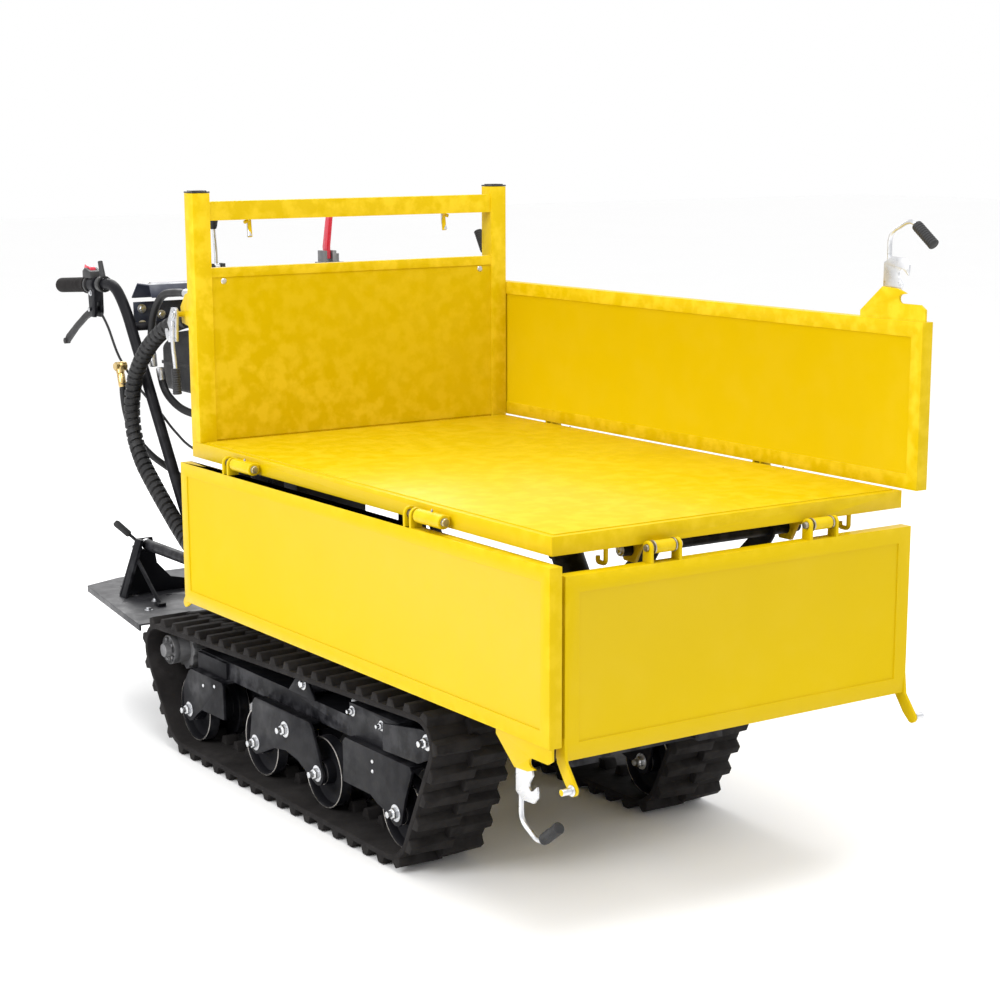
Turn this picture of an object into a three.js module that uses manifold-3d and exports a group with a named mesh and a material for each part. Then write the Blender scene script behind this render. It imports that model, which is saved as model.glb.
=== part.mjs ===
// Power wheelbarrow: a rubber-tracked mini dumper with a tipping drop-side load bed.
// Millimetres, +Z up, standing on Z = 0. The tipping end faces -Y, the operator stands at +Y, X is across.
// Inside the machine group Y is counted from the front edge of the load bed, and Z from a level just above
// the ground; the group then moves everything so that the origin is on the ground under the machine's middle.
import * as THREE from 'three';
import { mergeVertices } from 'three/addons/utils/BufferGeometryUtils.js';
import Module from 'manifold-3d';

const wasm = await Module();
wasm.setup();

// ---------- driving dimensions ----------
const ORIGIN_Y = 1083.25;          // from the bed's front edge to the machine's middle
const GROUND = -13;                // height of the ground in the machine group
const GAP = 0.4;                   // between pieces that touch
const RUN = 0.5;                   // around shafts that turn

const BED_TOP = 735;
const BED_HALF = 400;
const BED_END = 1346;
const LIP = 35;
const SHEET = 4;
const DECK = 2;                    // the flat floor stands this much above the bed's rim
const DECK_INSET = 12;

const POST = 40;
const POST_OUTER = 400;
const POST_TOP = BED_TOP + 530;
const POST_FRONT = BED_END - POST;

const PANEL_THICK = 26;
const SIDE_FRONT = -36;
const SIDE_REAR = 1347;
const SIDE_HEIGHT = 310;
const SIDE_INNER = 401;            // inner face of a side panel that stands up
const SIDE_HINGE_X = 415.5;
const SIDE_HINGE_Z = BED_TOP - 22;
const SIDE_HINGES_Y = [306, 1030];

const FRONT_HALF = 395;
const FRONT_HINGE_Y = -19;
const FRONT_HINGE_Z = BED_TOP - 38;
const FRONT_TOP = BED_TOP - 64;    // hanging
const FRONT_HEIGHT = 318;

const TILT_Y = 70;
const TILT_Z = BED_TOP - 57;
const CYLINDER_BASE = [330, 300];  // y, z of the lower pivot
const CYLINDER_EYE = [560, 655];   // y, z of the upper pivot, bed down

const TRACK_CENTRE = 302;
const TRACK_WIDTH = 180;
const BELT = 12;
const LUG = 18;
const LUG_PITCH = 60;
const WHEEL_R = 76;
const WHEEL_Z = GROUND + BELT + LUG + WHEEL_R + GAP + 0.1;
const WHEELS_Y = [565, 877, 1150, 1476];
const IDLER = { y: 447, z: 265, r: 44.5 };
const SPROCKET = { y: 1590, z: 210, r: 52.5 };
const CARRIER = { y: 980, z: 258, r: 26 };
const BEAM_Z = [190, 232];
const PLATE_OUT = [60, 66];        // side plates, from the track's middle

const GRIP_X = 320;
const TUBE_R = 13;
const RAIL_X = 224;
const RAIL_Z = 380;
const STEP_Z = 250;

// ---------- materials ----------
const paint = (color, roughness, metalness) => new THREE.MeshStandardMaterial({ color, roughness, metalness });
const yellow = paint(0xffd800, 0.32, 0.1);
const black = paint(0x232428, 0.45, 0.4);
const navy = paint(0x19203a, 0.4, 0.4);
const rubber = paint(0x211f1f, 0.85, 0.0);
const plastic = paint(0x18181a, 0.6, 0.0);
const zinc = paint(0xc9cbd0, 0.3, 0.9);
const steel = paint(0x8a8782, 0.4, 0.9);
const grey = paint(0x55555c, 0.5, 0.5);
const brass = paint(0xb9975a, 0.35, 0.9);
const red = paint(0xc80f3c, 0.35, 0.1);
const castMetal = paint(0x77787a, 0.6, 0.7);

// ---------- solids ----------
// A closed geometry as a solid whose faces point out.
function toSolid(geometry) {
  const bare = geometry.clone();
  bare.deleteAttribute('normal');
  bare.deleteAttribute('uv');
  const merged = mergeVertices(bare, 1e-3);
  const position = merged.attributes.position.array;
  const corners = [];
  let volume = 0;
  for (let i = 0; i < merged.index.count; i += 3) {
    const [a, b, c] = [0, 1, 2].map((k) => merged.index.getX(i + k));
    if (a === b || b === c || c === a) continue;
    corners.push(a, b, c);
    const [p, q, r] = [a, b, c].map((k) => new THREE.Vector3().fromArray(position, 3 * k));
    volume += p.dot(q.cross(r));
  }
  if (volume < 0) {
    for (let i = 0; i < corners.length; i += 3) [corners[i], corners[i + 1]] = [corners[i + 1], corners[i]];
  }
  return new wasm.Manifold(new wasm.Mesh({
    numProp: 3, vertProperties: new Float32Array(position), triVerts: new Uint32Array(corners),
  }));
}

// The radius of a many-sided bore whose flats clear a shaft.
const bore = (radius, sides) => (radius + RUN) / Math.cos(Math.PI / sides);

// One named piece: its solids joined, then its cuts taken away.
function piece(name, material, solids, cuts = []) {
  let body = solids.map(toSolid).reduce((whole, next) => whole.add(next));
  for (const cut of cuts) body = body.subtract(toSolid(cut));
  const raw = body.getMesh();
  const geometry = new THREE.BufferGeometry();
  geometry.setAttribute('position', new THREE.BufferAttribute(new Float32Array(raw.vertProperties), 3));
  geometry.setIndex([...raw.triVerts]);
  geometry.computeVertexNormals();
  const mesh = new THREE.Mesh(geometry, material);
  mesh.name = name;
  return mesh;
}

function block(x0, x1, y0, y1, z0, z1) {
  const box = new THREE.BoxGeometry(Math.abs(x1 - x0), Math.abs(y1 - y0), Math.abs(z1 - z0));
  return box.translate((x0 + x1) / 2, (y0 + y1) / 2, (z0 + z1) / 2);
}

// A round bar between two points.
function bar(from, to, radius, sides = 12, endRadius = radius) {
  const a = new THREE.Vector3(...from);
  const b = new THREE.Vector3(...to);
  const cylinder = new THREE.CylinderGeometry(endRadius, radius, a.distanceTo(b), sides);
  const turn = new THREE.Quaternion().setFromUnitVectors(new THREE.Vector3(0, 1, 0), b.clone().sub(a).normalize());
  return cylinder.applyQuaternion(turn).translate((a.x + b.x) / 2, (a.y + b.y) / 2, (a.z + b.z) / 2);
}

function outlineShape(outline) {
  return new THREE.Shape(outline.map(([u, v]) => new THREE.Vector2(u, v)));
}

// Flat plates: outlines are [y, z], [x, z] and [x, y].
function plateX(outline, x0, x1) {
  const plate = new THREE.ExtrudeGeometry(outlineShape(outline), { depth: x1 - x0, bevelEnabled: false });
  const basis = new THREE.Matrix4().makeBasis(
    new THREE.Vector3(0, 1, 0), new THREE.Vector3(0, 0, 1), new THREE.Vector3(1, 0, 0),
  );
  return plate.applyMatrix4(basis).translate(x0, 0, 0);
}

function plateY(outline, y0, y1) {
  const plate = new THREE.ExtrudeGeometry(outlineShape(outline), { depth: y1 - y0, bevelEnabled: false });
  return plate.rotateX(Math.PI / 2).translate(0, y1, 0);
}

function plateZ(outline, z0, z1) {
  const plate = new THREE.ExtrudeGeometry(outlineShape(outline), { depth: z1 - z0, bevelEnabled: false });
  return plate.translate(0, 0, z0);
}

// Points of an arc in a plate's outline; angles in degrees.
function arc(u, v, radius, from, to, steps = 6) {
  return Array.from({ length: steps + 1 }, (_, i) => {
    const angle = THREE.MathUtils.degToRad(from + ((to - from) * i) / steps);
    return [u + radius * Math.cos(angle), v + radius * Math.sin(angle)];
  });
}

// A turned piece about a line parallel to X. The profile is [x, radius] and closes on itself.
function turned(profile, y, z, segments) {
  const ring = new THREE.LatheGeometry(
    [...profile, profile[0]].map(([x, r]) => new THREE.Vector2(r, x)), segments,
  );
  return ring.rotateZ(-Math.PI / 2).translate(0, y, z);
}

// A tube bent round the corners of a polyline; it is sampled only where it bends.
class BentLine extends THREE.Curve {
  constructor(corners, bendRadius, bendSteps) {
    super();
    const points = corners.map((corner) => new THREE.Vector3(...corner));
    this.stations = [points[0]];
    for (let i = 1; i < points.length - 1; i += 1) {
      const [before, corner, after] = [points[i - 1], points[i], points[i + 1]];
      const reach = Math.min(bendRadius, before.distanceTo(corner) * 0.48, after.distanceTo(corner) * 0.48);
      const start = corner.clone().lerp(before, reach / before.distanceTo(corner));
      const end = corner.clone().lerp(after, reach / after.distanceTo(corner));
      const bend = new THREE.QuadraticBezierCurve3(start, corner, end);
      this.stations.push(...bend.getPoints(bendSteps));
    }
    this.stations.push(points[points.length - 1]);
  }

  get steps() { return this.stations.length - 1; }

  getSpacedPoints() { return this.stations.map((station) => station.clone()); }

  getPointAt(u) { return this.stations[Math.round(u * this.steps)].clone(); }

  getTangentAt(u) {
    const i = Math.round(u * this.steps);
    const before = this.stations[Math.max(i - 1, 0)];
    const after = this.stations[Math.min(i + 1, this.steps)];
    return after.clone().sub(before).normalize();
  }
}

function circleShape(radius, sides) {
  return outlineShape(arc(0, 0, radius, 0, 360 - 360 / sides, sides - 1));
}

function bentTube(corners, radius, bendRadius, sides = 10, bendSteps = 3) {
  const line = new BentLine(corners, bendRadius, bendSteps);
  return new THREE.ExtrudeGeometry(circleShape(radius, sides), { steps: line.steps, extrudePath: line });
}

// A hose on a smooth curve through its points.
function hose(points, radius, sides = 6, stepsEach = 2) {
  const curve = new THREE.CatmullRomCurve3(points.map((point) => new THREE.Vector3(...point)), false, 'centripetal');
  return new THREE.ExtrudeGeometry(circleShape(radius, sides), {
    steps: (points.length - 1) * stepsEach, extrudePath: curve,
  });
}

// ---------- undercarriage ----------
// The belt's inner line hugs the idler, the sprocket and the first and last road wheels.
const BELT_WHEELS = [
  { ...IDLER, r: IDLER.r + GAP },
  { ...SPROCKET, r: SPROCKET.r + GAP },
  { y: WHEELS_Y[3], z: WHEEL_Z, r: WHEEL_R + GAP },
  { y: WHEELS_Y[0], z: WHEEL_Z, r: WHEEL_R + GAP },
];

// The loop at a distance outside the belt's inner line, as [y, z] points, clockwise from the idler's top.
function beltLoop(offset, arcStep) {
  const angles = BELT_WHEELS.map((wheel, i) => {
    const next = BELT_WHEELS[(i + 1) % BELT_WHEELS.length];
    const along = Math.atan2(next.z - wheel.z, next.y - wheel.y);
    const lean = Math.asin((wheel.r - next.r) / Math.hypot(next.y - wheel.y, next.z - wheel.z));
    return along + Math.PI / 2 - lean;
  });
  const loop = [];
  BELT_WHEELS.forEach((wheel, i) => {
    const from = angles[(i + BELT_WHEELS.length - 1) % BELT_WHEELS.length];
    let turn = angles[i] - from;
    while (turn > 0) turn -= 2 * Math.PI;
    while (turn < -2 * Math.PI) turn += 2 * Math.PI;
    const steps = Math.max(2, Math.round((-turn * (wheel.r + offset)) / arcStep));
    const radius = (wheel.r + offset) / Math.cos(turn / steps / 2);
    for (let k = 0; k <= steps; k += 1) {
      const angle = from + (turn * k) / steps;
      loop.push([wheel.y + radius * Math.cos(angle), wheel.z + radius * Math.sin(angle)]);
    }
  });
  return loop;
}

// A point and its outward normal at a distance along a closed loop.
function walker(loop) {
  const lengths = loop.map(([y, z], i) => {
    const [ny, nz] = loop[(i + 1) % loop.length];
    return Math.hypot(ny - y, nz - z);
  });
  const total = lengths.reduce((sum, length) => sum + length, 0);
  const at = (distance) => {
    let left = ((distance % total) + total) % total;
    let i = 0;
    while (left > lengths[i]) {
      left -= lengths[i];
      i += 1;
    }
    const [y, z] = loop[i];
    const [ny, nz] = loop[(i + 1) % loop.length];
    const share = left / lengths[i];
    const normal = [-(nz - z) / lengths[i], (ny - y) / lengths[i]];
    return { point: [y + (ny - y) * share, z + (nz - z) * share], normal };
  };
  return { total, at };
}

// The belt's outer outline with its lugs, as one closed line.
function luggedOutline() {
  const { total, at } = walker(beltLoop(BELT, 8));
  const count = Math.round(total / LUG_PITCH);
  const pitch = total / count;
  const outline = [];
  for (let lug = 0; lug < count; lug += 1) {
    const middle = (lug + 0.5) * pitch;
    for (const [shift, height] of [[-19, 0], [-13, LUG], [13, LUG], [19, 0]]) {
      const { point, normal } = at(middle + shift);
      outline.push([point[0] + normal[0] * height, point[1] + normal[1] * height]);
    }
  }
  return outline;
}

function trackBelt(side) {
  const outer = plateX(luggedOutline(), -TRACK_WIDTH / 2, TRACK_WIDTH / 2);
  const inner = plateX(beltLoop(0, 26), -TRACK_WIDTH, TRACK_WIDTH);
  return piece(`track_belt_${side.name}`, rubber, [outer], [inner]);
}

const bothSides = (make) => [-1, 1].map(make);

// Plates at the same distance on both sides of the track's middle.
const twinPlates = (outline) => bothSides((s) => {
  const [near, far] = PLATE_OUT;
  return s < 0 ? plateX(outline, -far, -near) : plateX(outline, near, far);
});

const axleStub = (y, z, radius, reach) => bar([-reach, y, z], [reach, y, z], radius, 8);

function trackFrame(side) {
  const [low, high] = BEAM_Z;
  const out = side.sign;
  const frontGuard = [[504, 190], [512, 200], [758, 200], [768, 190], [768, 106], [660, 106], [634, 94],
    ...arc(WHEELS_Y[0], WHEEL_Z, 27, 340, 220, 4), [530, 130]];
  const rearGuard = [[1300, 184], [1308, 192], [1462, 192], [1474, 184], [1503, 146],
    ...arc(WHEELS_Y[3], WHEEL_Z, 27, 10, -120, 4), [1440, 88], [1412, 106], [1300, 108]];
  const idlerArm = [[425, 240], [425, 285], [470, 285], [610, 264], [610, 210], [480, 215]];
  const carrierPlate = [[930, 231], [1046, 231], [1000, 276], [968, 276]];
  const reach = PLATE_OUT[1];
  return piece(`track_frame_${side.name}`, black, [
    block(-36, 36, 515, 1470, low, high),
    // folded guards over the first and the last road wheel
    ...twinPlates(frontGuard),
    ...twinPlates(rearGuard),
    block(-reach, reach, 511, 759, low + 4, low + 10),
    block(-reach, reach, 1307, 1463, low - 3, low + 2),
    // tension box at the front and cross box at the rear
    block(-44, 44, 584, 776, low + 7, 266),
    block(-out * reach, out * 44, 1325, 1468, low - 1, high - 3),
    block(-20, 20, 985, 1041, WHEEL_Z + 88, low + 1),
    plateX(idlerArm, -reach, -reach + 6),
    plateX(idlerArm, reach - 6, reach),
    block(-reach, reach, 588, 606, 222, 258),
    plateX(carrierPlate, -38, -33),
    plateX(carrierPlate, 33, 38),
    axleStub(CARRIER.y, CARRIER.z, 8, 42),
    axleStub(IDLER.y, IDLER.z, 10, 63),
    axleStub(WHEELS_Y[0], WHEEL_Z, 10, 63),
    axleStub(WHEELS_Y[3], WHEEL_Z, 10, 63),
  ]);
}

// The rocking plates that carry the two middle wheels, with their axles and pivot tube.
function bogie(side) {
  const middle = (WHEELS_Y[1] + WHEELS_Y[2]) / 2;
  const pivotZ = WHEEL_Z + 62;
  const top = 196;
  const outline = [
    ...arc(WHEELS_Y[1], WHEEL_Z, 26, 180, 300, 4),
    [middle - 52, WHEEL_Z + 8], [middle, WHEEL_Z + 16], [middle + 52, WHEEL_Z + 8],
    ...arc(WHEELS_Y[2], WHEEL_Z, 26, 240, 360, 4),
    [middle + 146, top - 12], [middle + 134, top], [middle - 106, top], [middle - 118, top - 12],
  ];
  const [inner, outer] = [40, PLATE_OUT[1] - 1];
  return piece(`bogie_${side.name}`, black, [
    ...twinPlates(outline),
    ...bothSides((s) => block(s * inner, s * outer, middle - 105, middle + 133, top - 6, top - 1)),
    axleStub(WHEELS_Y[1], WHEEL_Z, 10, 63),
    axleStub(WHEELS_Y[2], WHEEL_Z, 10, 63),
    axleStub(middle, pivotZ, 15, 63),
  ]);
}

// A double roller that straddles the belt's guide lugs.
function roadWheel(side, number) {
  const profile = [[-55, 10 + RUN], [55, 10 + RUN], [50, WHEEL_R], [24, WHEEL_R], [24, 46], [-24, 46],
    [-24, WHEEL_R], [-50, WHEEL_R]];
  return piece(`road_wheel_${side.name}_${number + 1}`, black, [turned(profile, WHEELS_Y[number], WHEEL_Z, 14)]);
}

function idler(side) {
  const profile = [[-54, 10 + RUN], [54, 10 + RUN], [40, IDLER.r], [18, IDLER.r], [18, 30],
    [-18, 30], [-18, IDLER.r], [-40, IDLER.r]];
  return piece(`idler_${side.name}`, castMetal, [turned(profile, IDLER.y, IDLER.z, 14)]);
}

function carrierRoller(side) {
  const profile = [[-32, 8 + RUN], [32, 8 + RUN], [32, CARRIER.r], [-32, CARRIER.r]];
  return piece(`carrier_roller_${side.name}`, grey, [turned(profile, CARRIER.y, CARRIER.z, 12)]);
}

// Toothed drive wheel with a hub flange on its outer side.
function sprocket(side) {
  const teeth = 9;
  const outline = [];
  for (let tooth = 0; tooth < teeth; tooth += 1) {
    const start = (360 / teeth) * tooth;
    for (const [turn, radius] of [[0, 44], [13, 51], [27, 51]]) {
      outline.push(arc(SPROCKET.y, SPROCKET.z, radius, start + turn, start + turn, 1)[0]);
    }
  }
  const hub = [[-60, 16 + RUN], [60, 16 + RUN], [60, 34], [-60, 34]];
  return piece(`sprocket_${side.name}`, castMetal, [
    turned(hub, SPROCKET.y, SPROCKET.z, 14),
    plateX(outline, -18, 18),
  ], [bar([-70, SPROCKET.y, SPROCKET.z], [70, SPROCKET.y, SPROCKET.z], 16 + RUN, 14)]);
}

function undercarriageSide(sign) {
  const side = { sign, name: sign < 0 ? 'left' : 'right' };
  const group = new THREE.Group();
  group.position.x = sign * TRACK_CENTRE;
  group.add(trackBelt(side), trackFrame(side), bogie(side), idler(side), carrierRoller(side), sprocket(side));
  WHEELS_Y.forEach((_, number) => group.add(roadWheel(side, number)));
  return group;
}

// ---------- chassis ----------
function chassisFrame() {
  const beamZ = [236, 326];
  const inner = TRACK_CENTRE - PLATE_OUT[1] - GAP;
  const towerOutline = [...arc(TILT_Y, TILT_Z, 20, 220, 10, 5), [470, 326], [470, 300], [318, 300]];
  const solids = [
    block(-inner, inner, 670, 730, BEAM_Z[0], beamZ[0] + 4),
    block(-inner, inner, 1300, 1360, BEAM_Z[0], beamZ[0] + 4),
    block(-130, 130, 250, 300, 240, 290),
    block(-130, 130, 1400, 1450, 240, 326),
    block(-250, 250, 1404, 1436, 320, 372),
    bar([-204, TILT_Y, TILT_Z], [204, TILT_Y, TILT_Z], 12, 12),
    plateY([[-134, 372], [134, 372], [134, 560], [-134, 560]], 282, 286),
    block(-64, 64, 296, 372, 262, 274),
    bar([-52, ...CYLINDER_BASE], [52, ...CYLINDER_BASE], 12, 12),
  ];
  for (const s of [-1, 1]) {
    const side = (near, far, y0, y1, z0, z1) => block(s * near, s * far, y0, y1, z0, z1);
    solids.push(
      side(120, 180, 240, 1684, ...beamZ),
      side(130, 170, 1300, 1360, 320, BED_TOP - LIP - GAP),
      side(122, 178, 1684, 1960, 228, STEP_Z - GAP),
      side(122, 178, 1660, 1690, 228, 300),
      bar([s * RAIL_X, 1404, RAIL_Z], [s * RAIL_X, 1990, RAIL_Z], 14, 10),
      side(40, 52, 296, 372, 268, CYLINDER_BASE[1] + 12),
      side(200, 236, 1500, 1540, 372, 400),
      side(200, 236, 1640, 1680, 372, 400),
    );
    solids.push(s < 0 ? plateX(towerOutline, -138, -130) : plateX(towerOutline, 130, 138));
  }
  solids.push(block(-240, 240, 1506, 1700, 391, 402));
  return piece('chassis_frame', black, solids);
}

function gearbox() {
  const axis = [SPROCKET.y, SPROCKET.z];
  const reach = TRACK_CENTRE + 74;
  return piece('gearbox', castMetal, [
    block(-100, 100, 1500, 1670, 130, 300),
    block(-80, 80, 1470, 1505, 150, 220),
    bar([-205, ...axis], [205, ...axis], 24, 12),
    bar([-reach, ...axis], [reach, ...axis], 16, 12),
    bar([0, 1560, 295], [0, 1560, 360], 30, 8),
  ]);
}

function stepPlate() {
  const half = [[388, 1692], [356, 1904], [314, 2170], [209, 2216], [74, 2229]];
  const outline = [...half, ...half.map(([x, y]) => [-x, y]).reverse()];
  const inner = outline.map(([x, y]) => [x - Math.sign(x) * 4, y > 2100 ? y - 4 : y - 8]);
  const holes = [];
  for (const s of [-1, 1]) {
    for (const [x, y] of [[240, 2110], [262, 1990], [190, 1950]]) {
      holes.push(bar([s * x, y, STEP_Z - 10], [s * x, y, STEP_Z + 10], 9, 8));
    }
  }
  const tread = [[-180, 2016], [180, 2016], [160, 2190], [-160, 2190]];
  return piece('step_plate', grey, [
    plateZ(outline, STEP_Z - 12, STEP_Z + SHEET),
    plateZ(tread, STEP_Z + 2, STEP_Z + SHEET + 1),
  ], [plateZ(inner, STEP_Z - 20, STEP_Z), ...holes]);
}

// Cross plate on the step that holds the ends of the rear rails, with an arch between them.
function stepSupport() {
  const foot = STEP_Z + SHEET + GAP;
  const half = [[299, foot], [299, foot + 6], [250, RAIL_Z + 16], [206, RAIL_Z + 16], [196, 330], [160, 290],
    [90, 274]];
  const outline = [...half, ...half.map(([x, z]) => [-x, z]).reverse()];
  const stays = bothSides((s) => bar([s * 262, 1846, foot + 4], [s * 258, 1994, RAIL_Z - 22], 5, 8));
  const feet = bothSides((s) => block(s * 252, s * 272, 1832, 1860, foot, foot + 8));
  const flanges = bothSides((s) => plateY(
    [[s * 299, foot], [s * 291, foot], [s * 242, RAIL_Z + 16], [s * 250, RAIL_Z + 16]], 1970, 2004,
  ));
  const arch = [-1, 1].map((s) => bar([s * RAIL_X, 1980, RAIL_Z], [s * RAIL_X, 2020, RAIL_Z], 14 + GAP, 12));
  const [y, z] = PARKING_PIVOT;
  const leverPin = [block(-231, -225, 2000, y + 8, z - 8, z + 8), bar([-252, y, z], [-228, y, z], 5, 10)];
  return piece('step_support', black, [
    plateY(outline, 1998, 2004), ...flanges, ...stays, ...feet, ...leverPin,
  ], arch);
}

// ---------- load bed ----------
// Latch pivots as [y, z]: on a side panel that stands up, and on the headboard.
const FRONT_LATCH_PIVOT = [72, BED_TOP + 354];
const CATCH_PIN = [17, BED_TOP + 350];
const REAR_LATCH_PIVOT = [BED_END + 29, BED_TOP + 272];
const REAR_CATCH = [BED_END + 15, BED_TOP + 318];

const hingeBlock = (s, y) => [
  bar([s * SIDE_HINGE_X, y, SIDE_HINGE_Z], [s * SIDE_HINGE_X, y + 85, SIDE_HINGE_Z], 13, 12),
  bar([s * SIDE_HINGE_X, y - 7, SIDE_HINGE_Z], [s * SIDE_HINGE_X, y + 124, SIDE_HINGE_Z], 8, 8),
  block(s * 398, s * (SIDE_HINGE_X - 3), y + 4, y + 81, SIDE_HINGE_Z - 9, SIDE_HINGE_Z + 9),
];

function loadBed() {
  const under = BED_TOP - LIP;
  const [eyeY, eyeZ] = CYLINDER_EYE;
  const gusset = [[30, BED_TOP - 3], [110, BED_TOP - 3], [104, 690], [86, 655], [56, 655], [37, 690]];
  const clevis = [[eyeY - 36, BED_TOP - 3], [eyeY + 36, BED_TOP - 3], [eyeY + 18, eyeZ - 16], [eyeY - 18, eyeZ - 16]];
  const frontHinge = (s) => [
    bar([s * 160, FRONT_HINGE_Y, FRONT_HINGE_Z], [s * 202, FRONT_HINGE_Y, FRONT_HINGE_Z], 11, 12),
    bar([s * 142, FRONT_HINGE_Y, FRONT_HINGE_Z], [s * 218, FRONT_HINGE_Y, FRONT_HINGE_Z], 6, 8),
    block(s * 170, s * 192, FRONT_HINGE_Y + 3, 28, FRONT_HINGE_Z - 7, FRONT_HINGE_Z + 5.5),
  ];
  const hookX = 279;
  const ropeHook = (s) => bentTube([
    [s * hookX, 12, under + 20], [s * hookX, 12, under - 28], [s * hookX, 34, under - 28], [s * hookX, 34, under - 18],
  ], 4, 6, 6, 1);
  const rim = BED_TOP - DECK;
  const tray = piece('tray', yellow, [block(-BED_HALF, BED_HALF, 0, BED_END, under, rim)],
    [block(-BED_HALF + SHEET, BED_HALF - SHEET, SHEET, BED_END - SHEET, under - 10, rim - SHEET)]);
  const deck = block(-BED_HALF + DECK_INSET, BED_HALF - DECK_INSET, DECK_INSET, POST_FRONT - 3, rim - 1.5, BED_TOP);
  const solids = [
    tray.geometry,
    deck,
    block(-BED_HALF + 1, BED_HALF - 1, 1, 46, under + 1, under + 1 + SHEET),
    bar([-46, eyeY, eyeZ], [46, eyeY, eyeZ], 10, 12),
    block(-160, 160, eyeY - 40, eyeY + 40, BED_TOP - 20, BED_TOP - 3),
  ];
  const cuts = [];
  for (const s of [-1, 1]) {
    solids.push(
      block(s * 150, s * 180, 2, BED_END - 2, under + 3, BED_TOP - 4),
      ropeHook(s),
      ...frontHinge(s),
      ...SIDE_HINGES_Y.flatMap((y) => hingeBlock(s, y)),
      s < 0 ? plateX(gusset, -184, -176) : plateX(gusset, 176, 184),
      s < 0 ? plateX(clevis, -42, -34) : plateX(clevis, 34, 42),
    );
    cuts.push(bar([s * 170, TILT_Y, TILT_Z], [s * 190, TILT_Y, TILT_Z], bore(12, 12), 12));
  }
  return piece('load_bed', yellow, solids, cuts);
}

function headboard() {
  const foot = BED_TOP - DECK + GAP;
  const inner = POST_OUTER - POST;
  const solids = [
    block(-inner - 2, inner + 2, POST_FRONT + 4, POST_FRONT + 8, foot + 4, BED_TOP + 372),
    block(-inner - 2, inner + 2, POST_FRONT + 2, POST_FRONT + 22, BED_TOP + 352, BED_TOP + 372),
    block(-inner - 2, inner + 2, POST_FRONT + 4, POST_FRONT + 36, BED_TOP + 472, BED_TOP + 512),
    block(-inner - 2, inner + 2, POST_FRONT + 6, POST_FRONT + 34, foot, foot + 24),
  ];
  for (const [x, s] of [[-258, -1], [240, 1]]) {
    solids.push(
      bar([x, POST_FRONT + 20, BED_TOP + 476], [x, POST_FRONT + 15, BED_TOP + 434], 5, 8),
      bar([x, POST_FRONT + 20, BED_TOP + 470], [x + s * 12, POST_FRONT + 17, BED_TOP + 466], 4, 8),
    );
  }
  for (const s of [-1, 1]) {
    const [pivotY, pivotZ] = REAR_LATCH_PIVOT;
    const bracket = [[BED_END - 3, pivotZ - 25], [BED_END - 3, pivotZ + 49], [pivotY - 12, pivotZ + 43],
      [pivotY + 12, pivotZ + 15], [pivotY + 6, pivotZ - 19]];
    solids.push(
      block(s * inner, s * POST_OUTER, POST_FRONT, BED_END, foot, POST_TOP),
      s < 0 ? plateX(bracket, -398, -392) : plateX(bracket, 392, 398),
      bar([s * 394, ...REAR_LATCH_PIVOT], [s * 422, ...REAR_LATCH_PIVOT], 6, 8),
    );
  }
  return piece('headboard', yellow, solids);
}

function postCap(sign) {
  const cap = block(sign * (POST_OUTER - POST - 1), sign * (POST_OUTER + 1), POST_FRONT - 1, BED_END + 1,
    POST_TOP + GAP, POST_TOP + 6);
  return piece(`post_cap_${sign < 0 ? 'left' : 'right'}`, plastic, [cap]);
}

// ---------- drop sides ----------
// A side panel as it stands up on the side +X. Hanging panels are the same piece turned half round its hinge.
function sidePanelSolids() {
  const low = BED_TOP + 1;
  const high = low + SIDE_HEIGHT;
  const outer = SIDE_INNER + PANEL_THICK;
  const ear = (y) => plateY([
    [SIDE_INNER + 1, low + 4], ...arc(SIDE_HINGE_X, SIDE_HINGE_Z, 14, 180, 360, 6), [outer - 1, low + 4],
  ], y, y + 6);
  const [pivotY, pivotZ] = FRONT_LATCH_PIVOT;
  const [pinY, pinZ] = CATCH_PIN;
  const bracket = [[SIDE_FRONT + 2, high - 6], [SIDE_FRONT + 2, high + 22], [SIDE_FRONT + 24, high + 36],
    [6, high + 46], [pivotY - 34, pivotZ + 14], [pivotY + 6, pivotZ + 16], [pivotY + 62, high + 12],
    [pivotY + 62, high - 6]];
  const notch = [
    ...arc(pinY + 8, pinZ, 8.5, -90, 90, 6), [pinY - 70, pinZ + 22], [pinY - 70, pinZ - 8.5],
  ];
  const [catchY, catchZ] = REAR_CATCH;
  return {
    solids: [
      block(SIDE_INNER, outer, SIDE_FRONT, SIDE_REAR, low, high),
      ...SIDE_HINGES_Y.flatMap((y) => [ear(y + 91), ear(y + 112)]),
      plateX(bracket, 408, 413),
      bar([410, pivotY, pivotZ], [420, pivotY, pivotZ], 6, 8),
      plateX([[SIDE_REAR - 16, catchZ - 34], [SIDE_REAR - 1, catchZ - 34], [catchY + 3, catchZ - 12],
        ...arc(catchY, catchZ, 10, -40, 120, 4), [SIDE_REAR - 16, catchZ - 4]], 408, 413),
      bar([409, catchY, catchZ], [428, catchY, catchZ], 5, 8),
    ],
    cuts: [
      plateX(notch, 400, 420),
      block(SIDE_INNER - 5, SIDE_INNER + 3, SIDE_FRONT + 28, SIDE_REAR - 28, low + 28, high - 28),
      block(outer - 3, outer + 5, SIDE_FRONT + 28, SIDE_REAR - 28, low + 28, high - 28),
      ...SIDE_HINGES_Y.map((y) => bar(
        [SIDE_HINGE_X, y + 88, SIDE_HINGE_Z], [SIDE_HINGE_X, y + 121, SIDE_HINGE_Z], bore(8, 8), 8,
      )),
    ],
  };
}

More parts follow.
